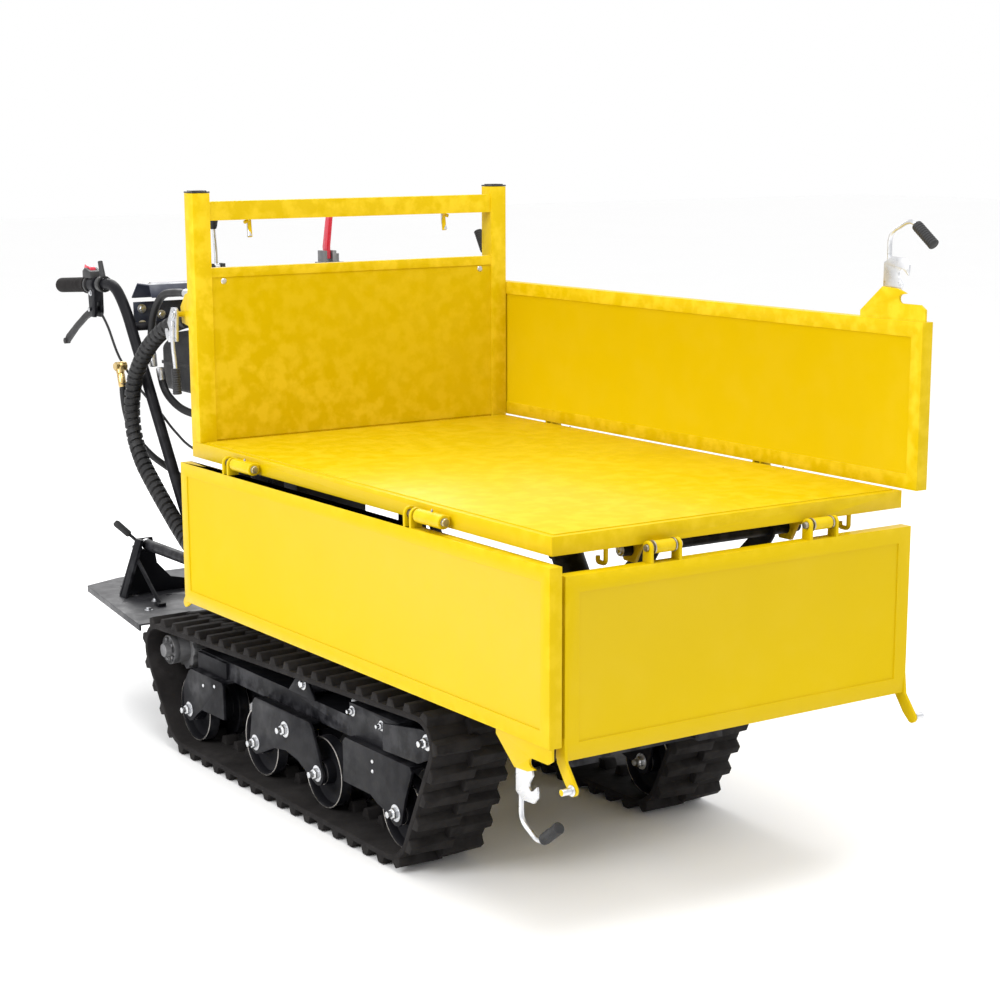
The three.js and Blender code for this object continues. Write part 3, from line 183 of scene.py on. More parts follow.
# ---------- shapes ----------
class Shape:
    """Solids gathered in one mesh; each takes the material number that is set when it is added."""

    def __init__(self):
        self.bm = bmesh.new()
        self.number = 0
        self.turn = Matrix.Identity(4)

    def add(self, verts, faces, smooth=False):
        made = [self.bm.verts.new(point(*(self.turn @ Vector(v)))) for v in verts]
        for face in faces:
            if len(set(face)) < 3:
                continue
            f = self.bm.faces.new([made[i] for i in face])
            f.material_index = self.number
            f.smooth = smooth
        return self

    def box(self, x0, x1, y0, y1, z0, z1):
        corners = [(x, y, z) for x in (x0, x1) for y in (y0, y1) for z in (z0, z1)]
        quads = [(0, 1, 3, 2), (4, 6, 7, 5), (0, 4, 5, 1), (2, 3, 7, 6), (0, 2, 6, 4), (1, 5, 7, 3)]
        return self.add(corners, quads)

    def prism(self, axis, outline, a, b):
        """An outline of [y, z], [x, z] or [x, y] points, between two values along x, y or z."""
        spot = {
            "x": lambda u, v, w: (w, u, v),
            "y": lambda u, v, w: (u, w, v),
            "z": lambda u, v, w: (u, v, w),
        }[axis]
        n = len(outline)
        verts = [spot(u, v, w) for w in (a, b) for u, v in outline]
        sides = [(i, (i + 1) % n, n + (i + 1) % n, n + i) for i in range(n)]
        return self.add(verts, [tuple(range(n)), tuple(range(2 * n - 1, n - 1, -1)), *sides])

    def rod(self, a, b, radius, end=None, segments=32):
        return self.profile(a, b, [(0, radius), (1, radius if end is None else end)], segments)

    def profile(self, a, b, stations, segments=32):
        """A closed turned solid from a to b. Stations are [share of the way, radius]."""
        a, b = Vector(a), Vector(b)
        along = (b - a).normalized()
        side = along.orthogonal().normalized()
        other = along.cross(side)
        verts, faces = [], []
        for share, radius in stations:
            centre = a.lerp(b, share)
            for k in range(segments):
                angle = 2 * math.pi * k / segments
                verts.append(centre + radius * (math.cos(angle) * side + math.sin(angle) * other))
        for ring in range(len(stations) - 1):
            low, high = ring * segments, (ring + 1) * segments
            for k in range(segments):
                nxt = (k + 1) % segments
                faces.append((low + k, low + nxt, high + nxt, high + k))
        faces.append(tuple(range(segments - 1, -1, -1)))
        faces.append(tuple(range(len(verts) - segments, len(verts))))
        return self.add(verts, faces, True)

    def ring(self, x, y, z, outline, segments=64):
        """A closed profile of [x, radius] points turned about a line along X."""
        verts, faces = [], []
        n = len(outline)
        for k in range(segments):
            angle = 2 * math.pi * k / segments
            verts += [(x + u, y + r * math.cos(angle), z + r * math.sin(angle)) for u, r in outline]
        for k in range(segments):
            a, b = k * n, ((k + 1) % segments) * n
            faces += [(a + i, a + (i + 1) % n, b + (i + 1) % n, b + i) for i in range(n)]
        return self.add(verts, faces, True)

    def tube(self, points, radius, segments=20, shape=None):
        """A tube along close points. shape(distance, angle) gives a radius that changes."""
        points = [Vector(p) for p in points]
        side = (points[1] - points[0]).orthogonal().normalized()
        verts, faces, travelled = [], [], 0.0
        for i, spot in enumerate(points):
            along = (points[min(i + 1, len(points) - 1)] - points[max(i - 1, 0)]).normalized()
            side = (side - side.dot(along) * along).normalized()
            other = along.cross(side)
            travelled += (spot - points[i - 1]).length if i else 0.0
            for k in range(segments):
                angle = 2 * math.pi * k / segments
                r = shape(travelled, angle) if shape else radius
                verts.append(spot + r * (math.cos(angle) * side + math.sin(angle) * other))
        for i in range(len(points) - 1):
            low, high = i * segments, (i + 1) * segments
            for k in range(segments):
                nxt = (k + 1) % segments
                faces.append((low + k, low + nxt, high + nxt, high + k))
        faces.append(tuple(range(segments - 1, -1, -1)))
        faces.append(tuple(range(len(verts) - segments, len(verts))))
        return self.add(verts, faces, True)

    def bolt(self, at, out, radius=7.0, height=5.0, washer=True, spin=0.3):
        """A hexagon head with a washer under it, standing out along a direction."""
        at, out = Vector(at), Vector(out).normalized()
        if washer:
            self.rod(at - out * 0.5, at + out * 1.6, radius * 1.45, segments=24)
            at = at + out * 1.6
        side = Matrix.Rotation(spin, 3, out) @ out.orthogonal().normalized()
        other = out.cross(side)
        verts = []
        for share, r in ((0, radius), (0.75, radius), (1, radius * 0.82)):
            for k in range(6):
                angle = math.pi * k / 3
                verts.append(at + out * height * share + r * (math.cos(angle) * side + math.sin(angle) * other))
        faces = [tuple(range(5, -1, -1)), tuple(range(12, 18))]
        for ring in (0, 6):
            faces += [(ring + k, ring + (k + 1) % 6, ring + 6 + (k + 1) % 6, ring + 6 + k) for k in range(6)]
        return self.add(verts, faces)

    def done(self, name, materials, body, *nodes, bevel=1.0, segments=2, slot=None):
        mesh = bpy.data.meshes.new(name)
        bmesh.ops.recalc_face_normals(self.bm, faces=self.bm.faces)
        self.bm.to_mesh(mesh)
        self.bm.free()
        thing = bpy.data.objects.new(name, mesh)
        bpy.context.scene.collection.objects.link(thing)
        for mat in materials:
            mesh.materials.append(mat)
        return dress(thing, body, nodes, bevel, segments)


def dress(thing, body, nodes, bevel, segments):
    """Rounds the edges, smooths the shading, and puts the piece on its body in place of CAD nodes."""
    if bevel:
        rounding = thing.modifiers.new("rounding", "BEVEL")
        rounding.width = bevel / 1000
        rounding.segments = segments
        rounding.limit_method = "ANGLE"
        rounding.angle_limit = math.radians(32)
        rounding.harden_normals = False
        rounding.use_clamp_overlap = True
        bpy.context.view_layer.objects.active = thing
        with bpy.context.temp_override(object=thing, active_object=thing, selected_objects=[thing]):
            bpy.ops.object.modifier_apply(modifier=rounding.name)
    for face in thing.data.polygons:
        face.use_smooth = True
    thing.data.set_sharp_from_angle(angle=math.radians(38))
    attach(thing, body)
    if nodes:
        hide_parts(*nodes)
    return thing


def copy_of(node, mat, body, bevel=1.2, segments=2):
    """The CAD node's own mesh, with its flat faces merged and its edges rounded."""
    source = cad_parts[node]
    bm = bmesh.new()
    bm.from_mesh(source.data)
    bmesh.ops.remove_doubles(bm, verts=bm.verts, dist=2e-5)
    bmesh.ops.dissolve_limit(bm, angle_limit=math.radians(0.5), verts=bm.verts, edges=bm.edges)
    for face in bm.faces:
        face.material_index = 0
    mesh = bpy.data.meshes.new(f"{node}_skin")
    bm.to_mesh(mesh)
    bm.free()
    thing = bpy.data.objects.new(f"{node}_skin", mesh)
    bpy.context.scene.collection.objects.link(thing)
    mesh.materials.append(mat)
    return dress(thing, body, (node,), bevel, segments)


def smooth(points, steps=8):
    """Close points on a Catmull-Rom curve through the given ones."""
    pts = [Vector(p) for p in points]
    pts = [2 * pts[0] - pts[1], *pts, 2 * pts[-1] - pts[-2]]
    line = []
    for a, b, c, d in zip(pts, pts[1:], pts[2:], pts[3:]):
        for k in range(steps):
            t = k / steps
            line.append(0.5 * (2 * b + (c - a) * t + (2 * a - 5 * b + 4 * c - d) * t * t
                               + (3 * b - a - 3 * c + d) * t ** 3))
    return [*line, pts[-2]]


def bent(corners, radius, steps=8):
    """A polyline with rounded corners."""
    pts = [Vector(p) for p in corners]
    line = [pts[0]]
    for before, corner, after in zip(pts, pts[1:], pts[2:]):
        reach = min(radius, (corner - before).length * 0.48, (after - corner).length * 0.48)
        start = corner + (before - corner).normalized() * reach
        end = corner + (after - corner).normalized() * reach
        for k in range(steps + 1):
            t = k / steps
            line.append((1 - t) ** 2 * start + 2 * t * (1 - t) * corner + t * t * end)
    return [*line, pts[-1]]


def arc(u, v, radius, start, stop, steps):
    return [(u + radius * math.cos(math.radians(start + (stop - start) * k / steps)),
             v + radius * math.sin(math.radians(start + (stop - start) * k / steps))) for k in range(steps + 1)]


# ---------- undercarriage ----------
def belt_loop(offset, step):
    wheels = [IDLER, SPROCKET, (WHEELS_Y[3], WHEEL_Z, WHEEL_R), (WHEELS_Y[0], WHEEL_Z, WHEEL_R)]
    wheels = [(y, z, r + 0.4) for y, z, r in wheels]
    angles = []
    for (y, z, r), (ny, nz, nr) in zip(wheels, wheels[1:] + wheels[:1]):
        lean = math.asin((r - nr) / math.hypot(ny - y, nz - z))
        angles.append(math.atan2(nz - z, ny - y) + math.pi / 2 - lean)
    loop = []
    for i, (y, z, r) in enumerate(wheels):
        turn = (angles[i] - angles[i - 1]) % (-2 * math.pi)
        steps = max(3, round(-turn * (r + offset) / step))
        for k in range(steps + 1):
            angle = angles[i - 1] + turn * k / steps
            loop.append((y + (r + offset) * math.cos(angle), z + (r + offset) * math.sin(angle)))
    return loop


def walk(loop):
    lengths = [math.dist(a, b) for a, b in zip(loop, loop[1:] + loop[:1])]
    total = sum(lengths)

    def at(distance):
        left, i = distance % total, 0
        while left > lengths[i]:
            left -= lengths[i]
            i += 1
        (y, z), (ny, nz) = loop[i], loop[(i + 1) % len(loop)]
        share = left / lengths[i]
        return (y + (ny - y) * share, z + (nz - z) * share), (-(nz - z) / lengths[i], (ny - y) / lengths[i])

    return total, at


def strip(shape, rows, x0, x1, closed=True):
    """A band of outer and inner rows of [y, z] points, between two x values."""
    n = len(rows)
    verts = [(x, *p) for x in (x0, x1) for row in rows for p in row]
    faces = []
    for i in range(n if closed else n - 1):
        a, b = 2 * i, 2 * ((i + 1) % n)
        faces += [(a, b, b + 1, a + 1), (2 * n + a, 2 * n + a + 1, 2 * n + b + 1, 2 * n + b),
                  (a, a + 2 * n, b + 2 * n, b), (a + 1, b + 1, b + 1 + 2 * n, a + 1 + 2 * n)]
    shape.add(verts, faces)


def track(side, x):
    total, outer = walk(belt_loop(BELT, 6))
    count = round(total / PITCH)
    pitch = total / count
    inner_total, inner = walk(belt_loop(0, 6))
    shape = Shape()
    steps = count * 6
    rows = [(outer(total * k / steps)[0], inner(inner_total * k / steps)[0]) for k in range(steps)]
    strip(shape, rows, x - 90, x + 90)
    for lug in range(count):
        # half-width blocks, staggered by half a pitch, that taper towards the belt's edges
        for way, middle in ((-1, (lug + 0.5) * pitch), (1, (lug + 1) * pitch)):
            verts = []
            for across, foot, tip, height in ((89.6, 16, 8, LUG * 0.9), (-8, 20, 12, LUG - 0.1)):
                for shift, rise in ((-foot, -1), (-tip, height), (tip, height), (foot, -1)):
                    (y, z), normal = outer(middle + shift)
                    flat = outer(middle)[1] if rise > 0 else normal
                    verts.append((x + way * across, y + flat[0] * rise, z + flat[1] * rise))
            sides = [(k, (k + 1) % 4, 4 + (k + 1) % 4, 4 + k) for k in range(4)]
            shape.add(verts, [(0, 1, 2, 3), (7, 6, 5, 4), *sides])
        (y, z), (ny, nz) = inner(inner_total * (lug + 0.5) / count)
        ty, tz = nz, -ny
        tooth = [(y + ty * s - ny * h, z + tz * s - nz * h)
                 for s, h in ((-15, -1), (-8, 18), (-5, 21), (5, 21), (8, 18), (15, -1))]
        shape.prism("x", tooth, x - 16, x + 16)
    shape.done(f"belt_{side}", [RUBBER], "chassis", f"track_belt_{side}", bevel=1.6, slot="rubber")


def road_wheel(side, x, number, y):
    half = [(10.6, 55), (24, 55), (26, 53), (27, 34), (40, 28), (60, 28), (68, 33), (70, 46), (73, 50),
            (75, 50),
            (76, 48), (76, 26), (74, 24), (48, 24), (46, 22)]
    outline = [(-w, r) for r, w in half] + [(w, r) for r, w in reversed(half)]
    shape = Shape()
    shape.ring(x, y, WHEEL_Z, outline, 72)
    shape.number = 1
    for face in (-1, 1):
        for inner_r, outer_r, w in ((73.2, 75.6, 49.2), (22.2, 25.2, 53.6)):
            rim = [(face * w, inner_r), (face * (w + 1.2), inner_r), (face * (w + 1.2), outer_r),
                   (face * w, outer_r)]
            shape.ring(x, y, WHEEL_Z, rim, 72)
    shape.done(f"wheel_{side}_{number}", [BLACK, STEEL], f"road_wheel_{side}_{number}",
               f"road_wheel_{side}_{number}",
               bevel=0, slot="black_paint")


def undercarriage(side, x):
    out = -1 if x < 0 else 1
    track(side, x)
    for number, y in enumerate(WHEELS_Y, 1):
        road_wheel(side, x, number, y)
    shape = Shape()
    y, z, r = IDLER
    shape.ring(x, y, z, [(-54, 10.6), (54, 10.6), (52, 22), (44, 26), (41, 32), (40, r - 1.5), (38, r),
               (20, r), (18, r - 2),
                         (18, 32), (16, 30), (-16, 30), (-18, 32), (-18, r - 2), (-20, r), (-38, r), (-40,
                                                                                                      r - 1.5),
                         (-41, 32), (-44, 26), (-52, 22)])
    shape.done(f"idler_wheel_{side}", [CAST], f"idler_{side}", f"idler_{side}", bevel=0, slot="cast")
    shape = Shape()
    y, z, r = CARRIER
    shape.ring(x, y, z, [(-32, 8.6), (32, 8.6), (32, r - 3), (30, r), (-30, r), (-32, r - 3)], 48)
    shape.done(f"roller_{side}", [GREY], f"carrier_roller_{side}", f"carrier_roller_{side}", bevel=0)
    copy_of(f"sprocket_{side}", CAST, f"sprocket_{side}", 1.2)
    shape = Shape()
    y, z, _ = SPROCKET
    shape.ring(x + out * 52, y, z, [(-8, 17), (8, 17), (8, 30), (6, 34.2), (-8, 34.2)])
    for k in range(5):
        angle = 2 * math.pi * k / 5
        shape.bolt((x + out * 59.5, y + 25 * math.cos(angle), z + 25 * math.sin(angle)), (out, 0, 0), 4.2,
                   3.2, False)
    shape.done(f"sprocket_hub_{side}", [CAST], f"sprocket_{side}", bevel=0.6, slot="cast")
    copy_of(f"track_frame_{side}", BLACK, "chassis", 2.2)
    copy_of(f"bogie_{side}", BLACK, "chassis", 2.2)
    # axle ends, nuts and pivot caps on both side plates
    shape = Shape()
    for face in (-1, 1):
        for y, z, r in ((WHEELS_Y[0], WHEEL_Z, 12), (WHEELS_Y[1], WHEEL_Z, 12), (WHEELS_Y[2], WHEEL_Z, 12),
                        (WHEELS_Y[3], WHEEL_Z, 12), (IDLER[0], IDLER[1], 11), (1013.5, WHEEL_Z + 62, 12)):
            at = x + face * 65.5
            shape.bolt((at, y, z), (face, 0, 0), r, 10)
            shape.rod((at, y, z), (at + face * 21, y, z), r * 0.55)
        for y, z in ((652, 176), (652, 156), (1344, 176), (1400, 166)):
            shape.rod((x + face * 65.5, y, z), (x + face * 67.4, y, z), 4.5, 3.2)
        shape.bolt((x + face * 37.5, CARRIER[0], CARRIER[1]), (face, 0, 0), 9, 7)
    for y, z in ((618, 246), (650, 246), (764, 250)):
        shape.bolt((x + out * 43.5, y, z), (out, 0, 0), 7.5, 6)
        shape.rod((x + out * 48, y, z), (x + out * 58, y, z), 4)
    shape.rod((x, 774, 250), (x, 826, 250), 11)
    shape.bolt((x, 778, 250), (0, 1, 0), 15, 12)
    shape.done(f"axle_nuts_{side}", [ZINC], "chassis", bevel=0.5, slot="zinc")


# ---------- bed and drop sides ----------
def bed():
    copy_of("load_bed", YELLOW, "bed", 1.0)
    shape = Shape()
    for s in (-1, 1):
        x, z = s * SIDE_HINGE[0], SIDE_HINGE[1]
        for y in SIDE_HINGES_Y:
            shape.profile((x, y - 0.1, z), (x, y + 85.1, z),
                          [(0, 11.6), (0.02, 13.1), (0.98, 13.1), (1, 11.6)])
        shape.profile((s * 159.8, *FRONT_HINGE), (s * 202.2, *FRONT_HINGE),
                      [(0, 10), (0.03, 11.1), (0.97, 11.1), (1, 10)])
        hook = bent([(s * 279, 12, 716), (s * 279, 12, 672), (s * 279, 34, 672), (s * 279, 34, 682.5)], 8)
        shape.tube(hook, 4.2)
        # weld beads along the lip's corners
        shape.tube([(s * 398.6, 1.4, z0) for z0 in (702, 712, 722, 732)], 1.8, 8)
    shape.rod((-46.5, *CYLINDER_EYE), (46.5, *CYLINDER_EYE), 10.1)
    shape.done("bed_hinges", [YELLOW], "bed", bevel=0)
    shape = Shape()
    for s in (-1, 1):
        for y in SIDE_HINGES_Y:
            x, z = s * SIDE_HINGE[0], SIDE_HINGE[1]
            # hinge pin, grease nipple and split pin of each hinge
            shape.profile((x, y - 7.3, z), (x, y + 124.3, z),
                          [(0, 6.6), (0.012, 8.1), (0.988, 8.1), (1, 6.6)])
            shape.rod((x, y + 40, z + 12), (x, y + 40, z + 18), 2.6, 1.6, 12)
            shape.rod((x, y + 121.5, z - 12), (x, y + 121.5, z + 12), 1.5, segments=10)
        shape.rod((s * 141.5, *FRONT_HINGE), (s * 218.5, *FRONT_HINGE), 6.1)
        for at, way in ((203, 1), (159, -1)):
            shape.bolt((s * at, *FRONT_HINGE), (s * way, 0, 0), 8.5, 4.5)
    shape.done("bed_pins", [STEEL], "bed", bevel=0.3)


def headboard():
    copy_of("headboard", YELLOW, "bed", 2.0, 3)
    for s, side in ((-1, "left"), (1, "right")):
        shape = Shape()
        x0, x1 = s * 359.2, s * 400.8
        shape.box(x0, x1, 1305.2, 1346.8, 1265.5, 1268.6)
        shape.box(x0 + s * 5, x1 - s * 5, 1310, 1342, 1268.4, 1270.6)
        shape.done(f"post_plug_{side}", [PLASTIC], "bed", f"post_cap_{side}", bevel=1.0)
    shape = Shape()
    for s in (-1, 1):
        shape.bolt((s * 421.5, *REAR_LATCH), (s, 0, 0), 7, 3.5)
    for x, s in ((-258, -1), (240, 1)):
        shape.tube(bent([(x, 1326, 1211), (x, 1325, 1186), (x + s * 2, 1320, 1170)], 12), 5.2, 16)
    for x in (-330, 330):
        shape.rod((x, 1310.2, 1078), (x, 1308.8, 1078), 7, 5)
    shape.done("headboard_fittings", [ZINC], "bed", bevel=0.4, slot="zinc")


def panels():
    for side in ("left", "right"):
        copy_of(f"side_panel_{side}", YELLOW, f"side_panel_{side}", 0.9, 2)
    copy_of("front_panel", YELLOW, "front_panel", 0.9, 2)
    shape = Shape()
    pin = (2 * FRONT_HINGE[0] - 17, 2 * FRONT_HINGE[1] - BED_TOP - 350)
    for s in (-1, 1):
        shape.rod((s * 390.5, *pin), (s * 418.8, *pin), 6.1)
        shape.rod((s * 397, *pin), (s * 399, *pin), 10)
    shape.done("front_panel_pins", [ZINC], "front_panel", bevel=0.5, slot="zinc")


def turned_about(y, z, angle, hanging, sign):
    """Carries a latch made at the side +X to its side, turned about its own pivot and the panel's hinge."""
    about = Matrix.Translation((0, y, z)) @ Matrix.Rotation(angle, 4, "X") @ Matrix.Translation((0, -y, -z))
    if hanging:
        x, h = SIDE_HINGE
        about = (Matrix.Translation((x, 0, h)) @ Matrix.Rotation(math.pi, 4, "Y")
                 @ Matrix.Translation((-x, 0, -h)) @ about)
    return (Matrix.Scale(-1, 4, (1, 0, 0)) if sign < 0 else Matrix.Identity(4)) @ about


def grip_sleeve(shape, a, b, radius):
    stations = [(0, radius * 0.72), (0.03, radius * 0.9), (0.07, radius * 0.93)]
    for k in range(9):
        share = 0.1 + k * 0.09
        stations += [(share, radius * 0.86), (share + 0.03, radius * 0.97), (share + 0.055, radius * 0.97),
                     (share + 0.075, radius * 0.86)]
    stations += [(0.94, radius), (0.98, radius * 0.94), (1, radius * 0.7)]
    shape.profile(a, b, stations, 28)


def front_latch(sign, hanging):
    side = "left" if sign < 0 else "right"
    y, z = FRONT_LATCH
    shape = Shape()
    shape.turn = turned_about(y, z, 0, hanging, sign)

    def at(forward, up):
        return y - forward, z + up

    def slot_edge(along, across):
        return at(36.9 + 0.743 * along + 0.669 * across, 41 - 0.669 * along + 0.743 * across)

    # the plate runs round the catch slot, whose mouth faces forward and down
    plate = [at(-10, -12), at(-4, -15), at(12, -14), at(30, -4), slot_edge(16, -12.4), slot_edge(0, -8.5),
             slot_edge(-5, -7.2), slot_edge(-8, -3.5), slot_edge(-8, 3.5), slot_edge(-5,
                                                                                     7.2), slot_edge(0, 8.5),
             slot_edge(14, 8.5), at(55, 47), at(55, 58), at(44, 70), at(10, 72), at(-10, 60)]
    shape.prism("x", plate, 414.2, 418.3)
    line = bent([(421.5, *at(-2, 14)), (421.5, *at(-4, 113)), (421.5, *at(50, 140)),
                (421.5, *at(106, 98))], 18)
    shape.tube(line, 4.5)
    shape.bolt((418, *at(0, 0)), (1, 0, 0), 6.5, 3)
    shape.rod((411, *at(0, 0)), (418.2, *at(0, 0)), 5.9)
    shape.number = 1
    grip_sleeve(shape, (421.5, *at(62, 131)), (421.5, *at(109, 95.7)), 11)
    shape.done(f"latch_{side}", [ZINC, PLASTIC], f"latch_front_{side}", f"latch_front_{side}", bevel=0.6,
               slot="zinc")


def rear_latch(sign, latched):
    side = "left" if sign < 0 else "right"
    y, z = REAR_LATCH
    angle = math.radians(42)
    reach = math.hypot(REAR_CATCH[0] - y, REAR_CATCH[1] - z)
    closing = math.pi - angle + math.atan2(y - REAR_CATCH[0], REAR_CATCH[1] - z) if latched else 0
    shape = Shape()
    shape.turn = turned_about(y, z, closing, False, sign)

    def at(back, down):
        return y + back, z - down

    def slot_edge(along, across):
        return at(reach * math.sin(angle) + math.cos(angle) * along + math.sin(angle) * across,
                  reach * math.cos(angle) - math.sin(angle) * along + math.cos(angle) * across)

    plate = [at(-12, -10), at(-6, -15), at(12, -14), at(26, 6), slot_edge(12, -10.6), slot_edge(0, -7.5),
             slot_edge(-5, -5.5), slot_edge(-7, 0), slot_edge(-5, 5.5), slot_edge(0, 7.5), slot_edge(12, 7.5),
             at(47, 40), at(42, 54), at(30, 62), at(-8, 58)]
    shape.prism("x", plate, 414.2, 420.3)
    line = bent([(423.5, *at(0, 14)), (423.5, *at(4, 60)), (423.5, *at(-6, 110)), (423.5, *at(-12, 160))], 24)
    shape.tube(line, 4.5)
    shape.number = 1
    grip_sleeve(shape, (423.5, *at(-6, 116)), (423.5, *at(-12, 172)), 10.4)
    shape.done(f"latch_back_{side}", [ZINC, PLASTIC], f"latch_rear_{side}", f"latch_rear_{side}",
               bevel=0.6, slot="zinc")


# ---------- chassis and tip cylinder ----------
def chassis():
    copy_of("chassis_frame", BLACK, "chassis", 2.0, 2)
    shape = Shape()
    shape.profile((-204.4, *TILT), (204.4, *TILT), [(0, 10.6), (0.004, 12.1), (0.996, 12.1), (1, 10.6)])
    shape.rod((-52.4, *CYLINDER_BASE), (52.4, *CYLINDER_BASE), 12.1)
    for s in (-1, 1):
        shape.profile((s * 224, 1403.5, 380), (s * 224, 1990.5, 380), [(0, 14.1), (0.998, 14.1), (1, 12.4)])
    shape.done("frame_shafts", [BLACK], "chassis", bevel=0)
    shape = Shape()
    for s in (-1, 1):
        shape.bolt((s * 204, *TILT), (s, 0, 0), 8, 3)
        for y in (1316, 1344):
            shape.bolt((s * 169.8, y, 668), (s, 0, 0), 7, 4)
        for y in (1520, 1660):
            shape.bolt((s * 218, y, 400.5), (0, 0, 1), 6.5, 5)
    shape.done("frame_bolts", [ZINC], "chassis", bevel=0.5)
    copy_of("gearbox", CAST, "chassis", 3.0, 3)
    shape = Shape()
    for s in (-1, 1):
        shape.ring(s * 101, 1590, 210, [(-8, 24), (6, 24), (6, 52), (-8, 58)], 48)
        for k in range(8):
            angle = 2 * math.pi * (k + 0.5) / 8
            shape.bolt((s * 107, 1590 + 43 * math.cos(angle), 210 + 43 * math.sin(angle)), (s, 0, 0), 5,
                       4, False)
        shape.profile((s * 100, 1590, 210), (s * 205, 1590, 210),
                      [(0, 34), (0.1, 30), (0.3, 24.4), (1, 24.2)])
    for x in (-86, -30, 30, 86):
        for z in (145, 285):
            shape.bolt((x, 1669.5, z), (0, 1, 0), 5.5, 4.5)
    shape.done("gearbox_covers", [CAST], "chassis", bevel=0.8, slot="cast")


def cylinder():
    base, eye = Vector((0, *CYLINDER_BASE)), Vector((0, *CYLINDER_EYE))
    length = (eye - base).length

    def on(distance):
        return base.lerp(eye, distance / length)

    mouth = length - 62
    copy_of("cylinder_barrel", BLACK, "cylinder_barrel", 0.4, 1)
    shape = Shape()
    shape.profile(on(14), on(mouth), [(0, 20), (0.03, 32.1), (1, 32.1)], 48)
    shape.profile(on(mouth - 30.5), on(mouth + 8.4), [(0, 33), (0.06, 36.1), (0.9, 36.1), (1, 34)], 48)
    shape.profile(on(40), on(46), [(0, 32), (0.2, 34), (0.8, 34), (1, 32)], 48)
    shape.profile((-24.4, *CYLINDER_BASE), (24.4, *CYLINDER_BASE),
                  [(0, 24), (0.05, 26.2), (0.95, 26.2), (1, 24)], 40)
    shape.done("barrel_tube", [BLACK], "cylinder_barrel", bevel=0, slot="black_paint")
    shape = Shape()
    shape.ring(0, *CYLINDER_EYE, [(-20, 21.2), (20, 21.2), (20, 30), (18, 32.2), (-18, 32.2), (-20, 30)], 56)
    shape.tube([on(60 + k * (length - 92 - 60) / 12) for k in range(13)], 16.05, 40)
    shape.done("rod_skin", [STEEL], "cylinder_rod", "cylinder_rod", bevel=0, slot="steel")


# ---------- operator end ----------
def handlebars():
    shape = Shape()
    for s in (-1, 1):
        line = bent([(s * x, y, z) for x, y, z in HANDLE], 62, 14)
        shape.tube(line, 13.0, 28)
        shape.prism("x", [(2004, 1032), (2041, 1030), (2041, 1000), (2038, 966), (2034, 952), (2010, 952),
                    (2004, 966)],
                    s * GRIP_X - 12, s * GRIP_X - 5)
        shape.prism("x", [(2004, 1032), (2041, 1030), (2041, 1000), (2038, 966), (2034, 952), (2010, 952),
                    (2004, 966)],
                    s * GRIP_X + 5, s * GRIP_X + 12)
        shape.box(s * GRIP_X - 6, s * GRIP_X + 6, 2004, 2040, 988, 1030)
        shape.profile((s * GRIP_X, 2005, 1032), (s * GRIP_X, 2040, 1029.7),
                      [(0, 17), (0.05, 18.5), (0.95, 18.5), (1, 17)])
        shape.rod((s * GRIP_X - 14.4, 2032, 970), (s * GRIP_X + 14.4, 2032, 970), 4.1)
    shape.profile((-320, 1480, 410.4), (320, 1480, 410.4), [(0, 14), (0.004, 16), (0.996, 16), (1, 14)], 28)
    shape.rod((-320, 1822, 942), (320, 1822, 942), 10, segments=24)
    shape.done("handlebar_tubes", [BLACK], "chassis", "handlebar_frame", bevel=0.8, slot="black_paint")
    shape = Shape()
    for s in (-1, 1):
        shape.bolt((s * GRIP_X + s * 12, 2024, 1010), (s, 0, 0), 5, 3.5)
        shape.bolt((s * GRIP_X + s * 14, 2032, 970), (s, 0, 0), 5.5, 3, False)
        shape.bolt((s * 224, 1480, 426), (0, 0, 1), 7, 6)
        shape.prism("y", [(s * 224 - 22, 394.6), (s * 224 + 22, 394.6), (s * 224 + 22, 398),
                    (s * 224 + 18, 400),
                          *arc(s * 224, 410.4, 18.5, 0, 180, 12), (s * 224 - 22, 398)], 1470, 1490)
    shape.done("handlebar_bolts", [ZINC], "chassis", bevel=0.4, slot="zinc")
    for s, side in ((-1, "left"), (1, "right")):
        shape = Shape()
        a, b = (s * GRIP_X, 2060.2, 1028.2), (s * GRIP_X, 2231, 1017.2)
        stations = [(0, 21), (0.01, 22), (0.03, 22), (0.045, 18.6)]
        for k in range(24):
            share = 0.07 + k * 0.035
            stations += [(share, 17.6), (share + 0.008, 18.1), (share + 0.022, 18.1), (share + 0.03, 17.6)]
        stations += [(0.93, 18.2), (0.985, 18.0), (0.997, 16), (1, 12)]
        shape.profile(a, b, stations, 40)
        shape.done(f"grip_{side}", [RUBBER], "chassis", f"hand_grip_{side}", bevel=0, slot="rubber")
        copy_of(f"clutch_lever_{side}", PLASTIC, f"clutch_lever_{side}", 2.4, 3)
    copy_of("switch_pod", PLASTIC, "chassis", 1.6, 3)
    copy_of("switch_rocker", RED, "switch_rocker", 2.2, 3)
    copy_of("throttle_lever", PLASTIC, "throttle_lever", 1.4, 3)


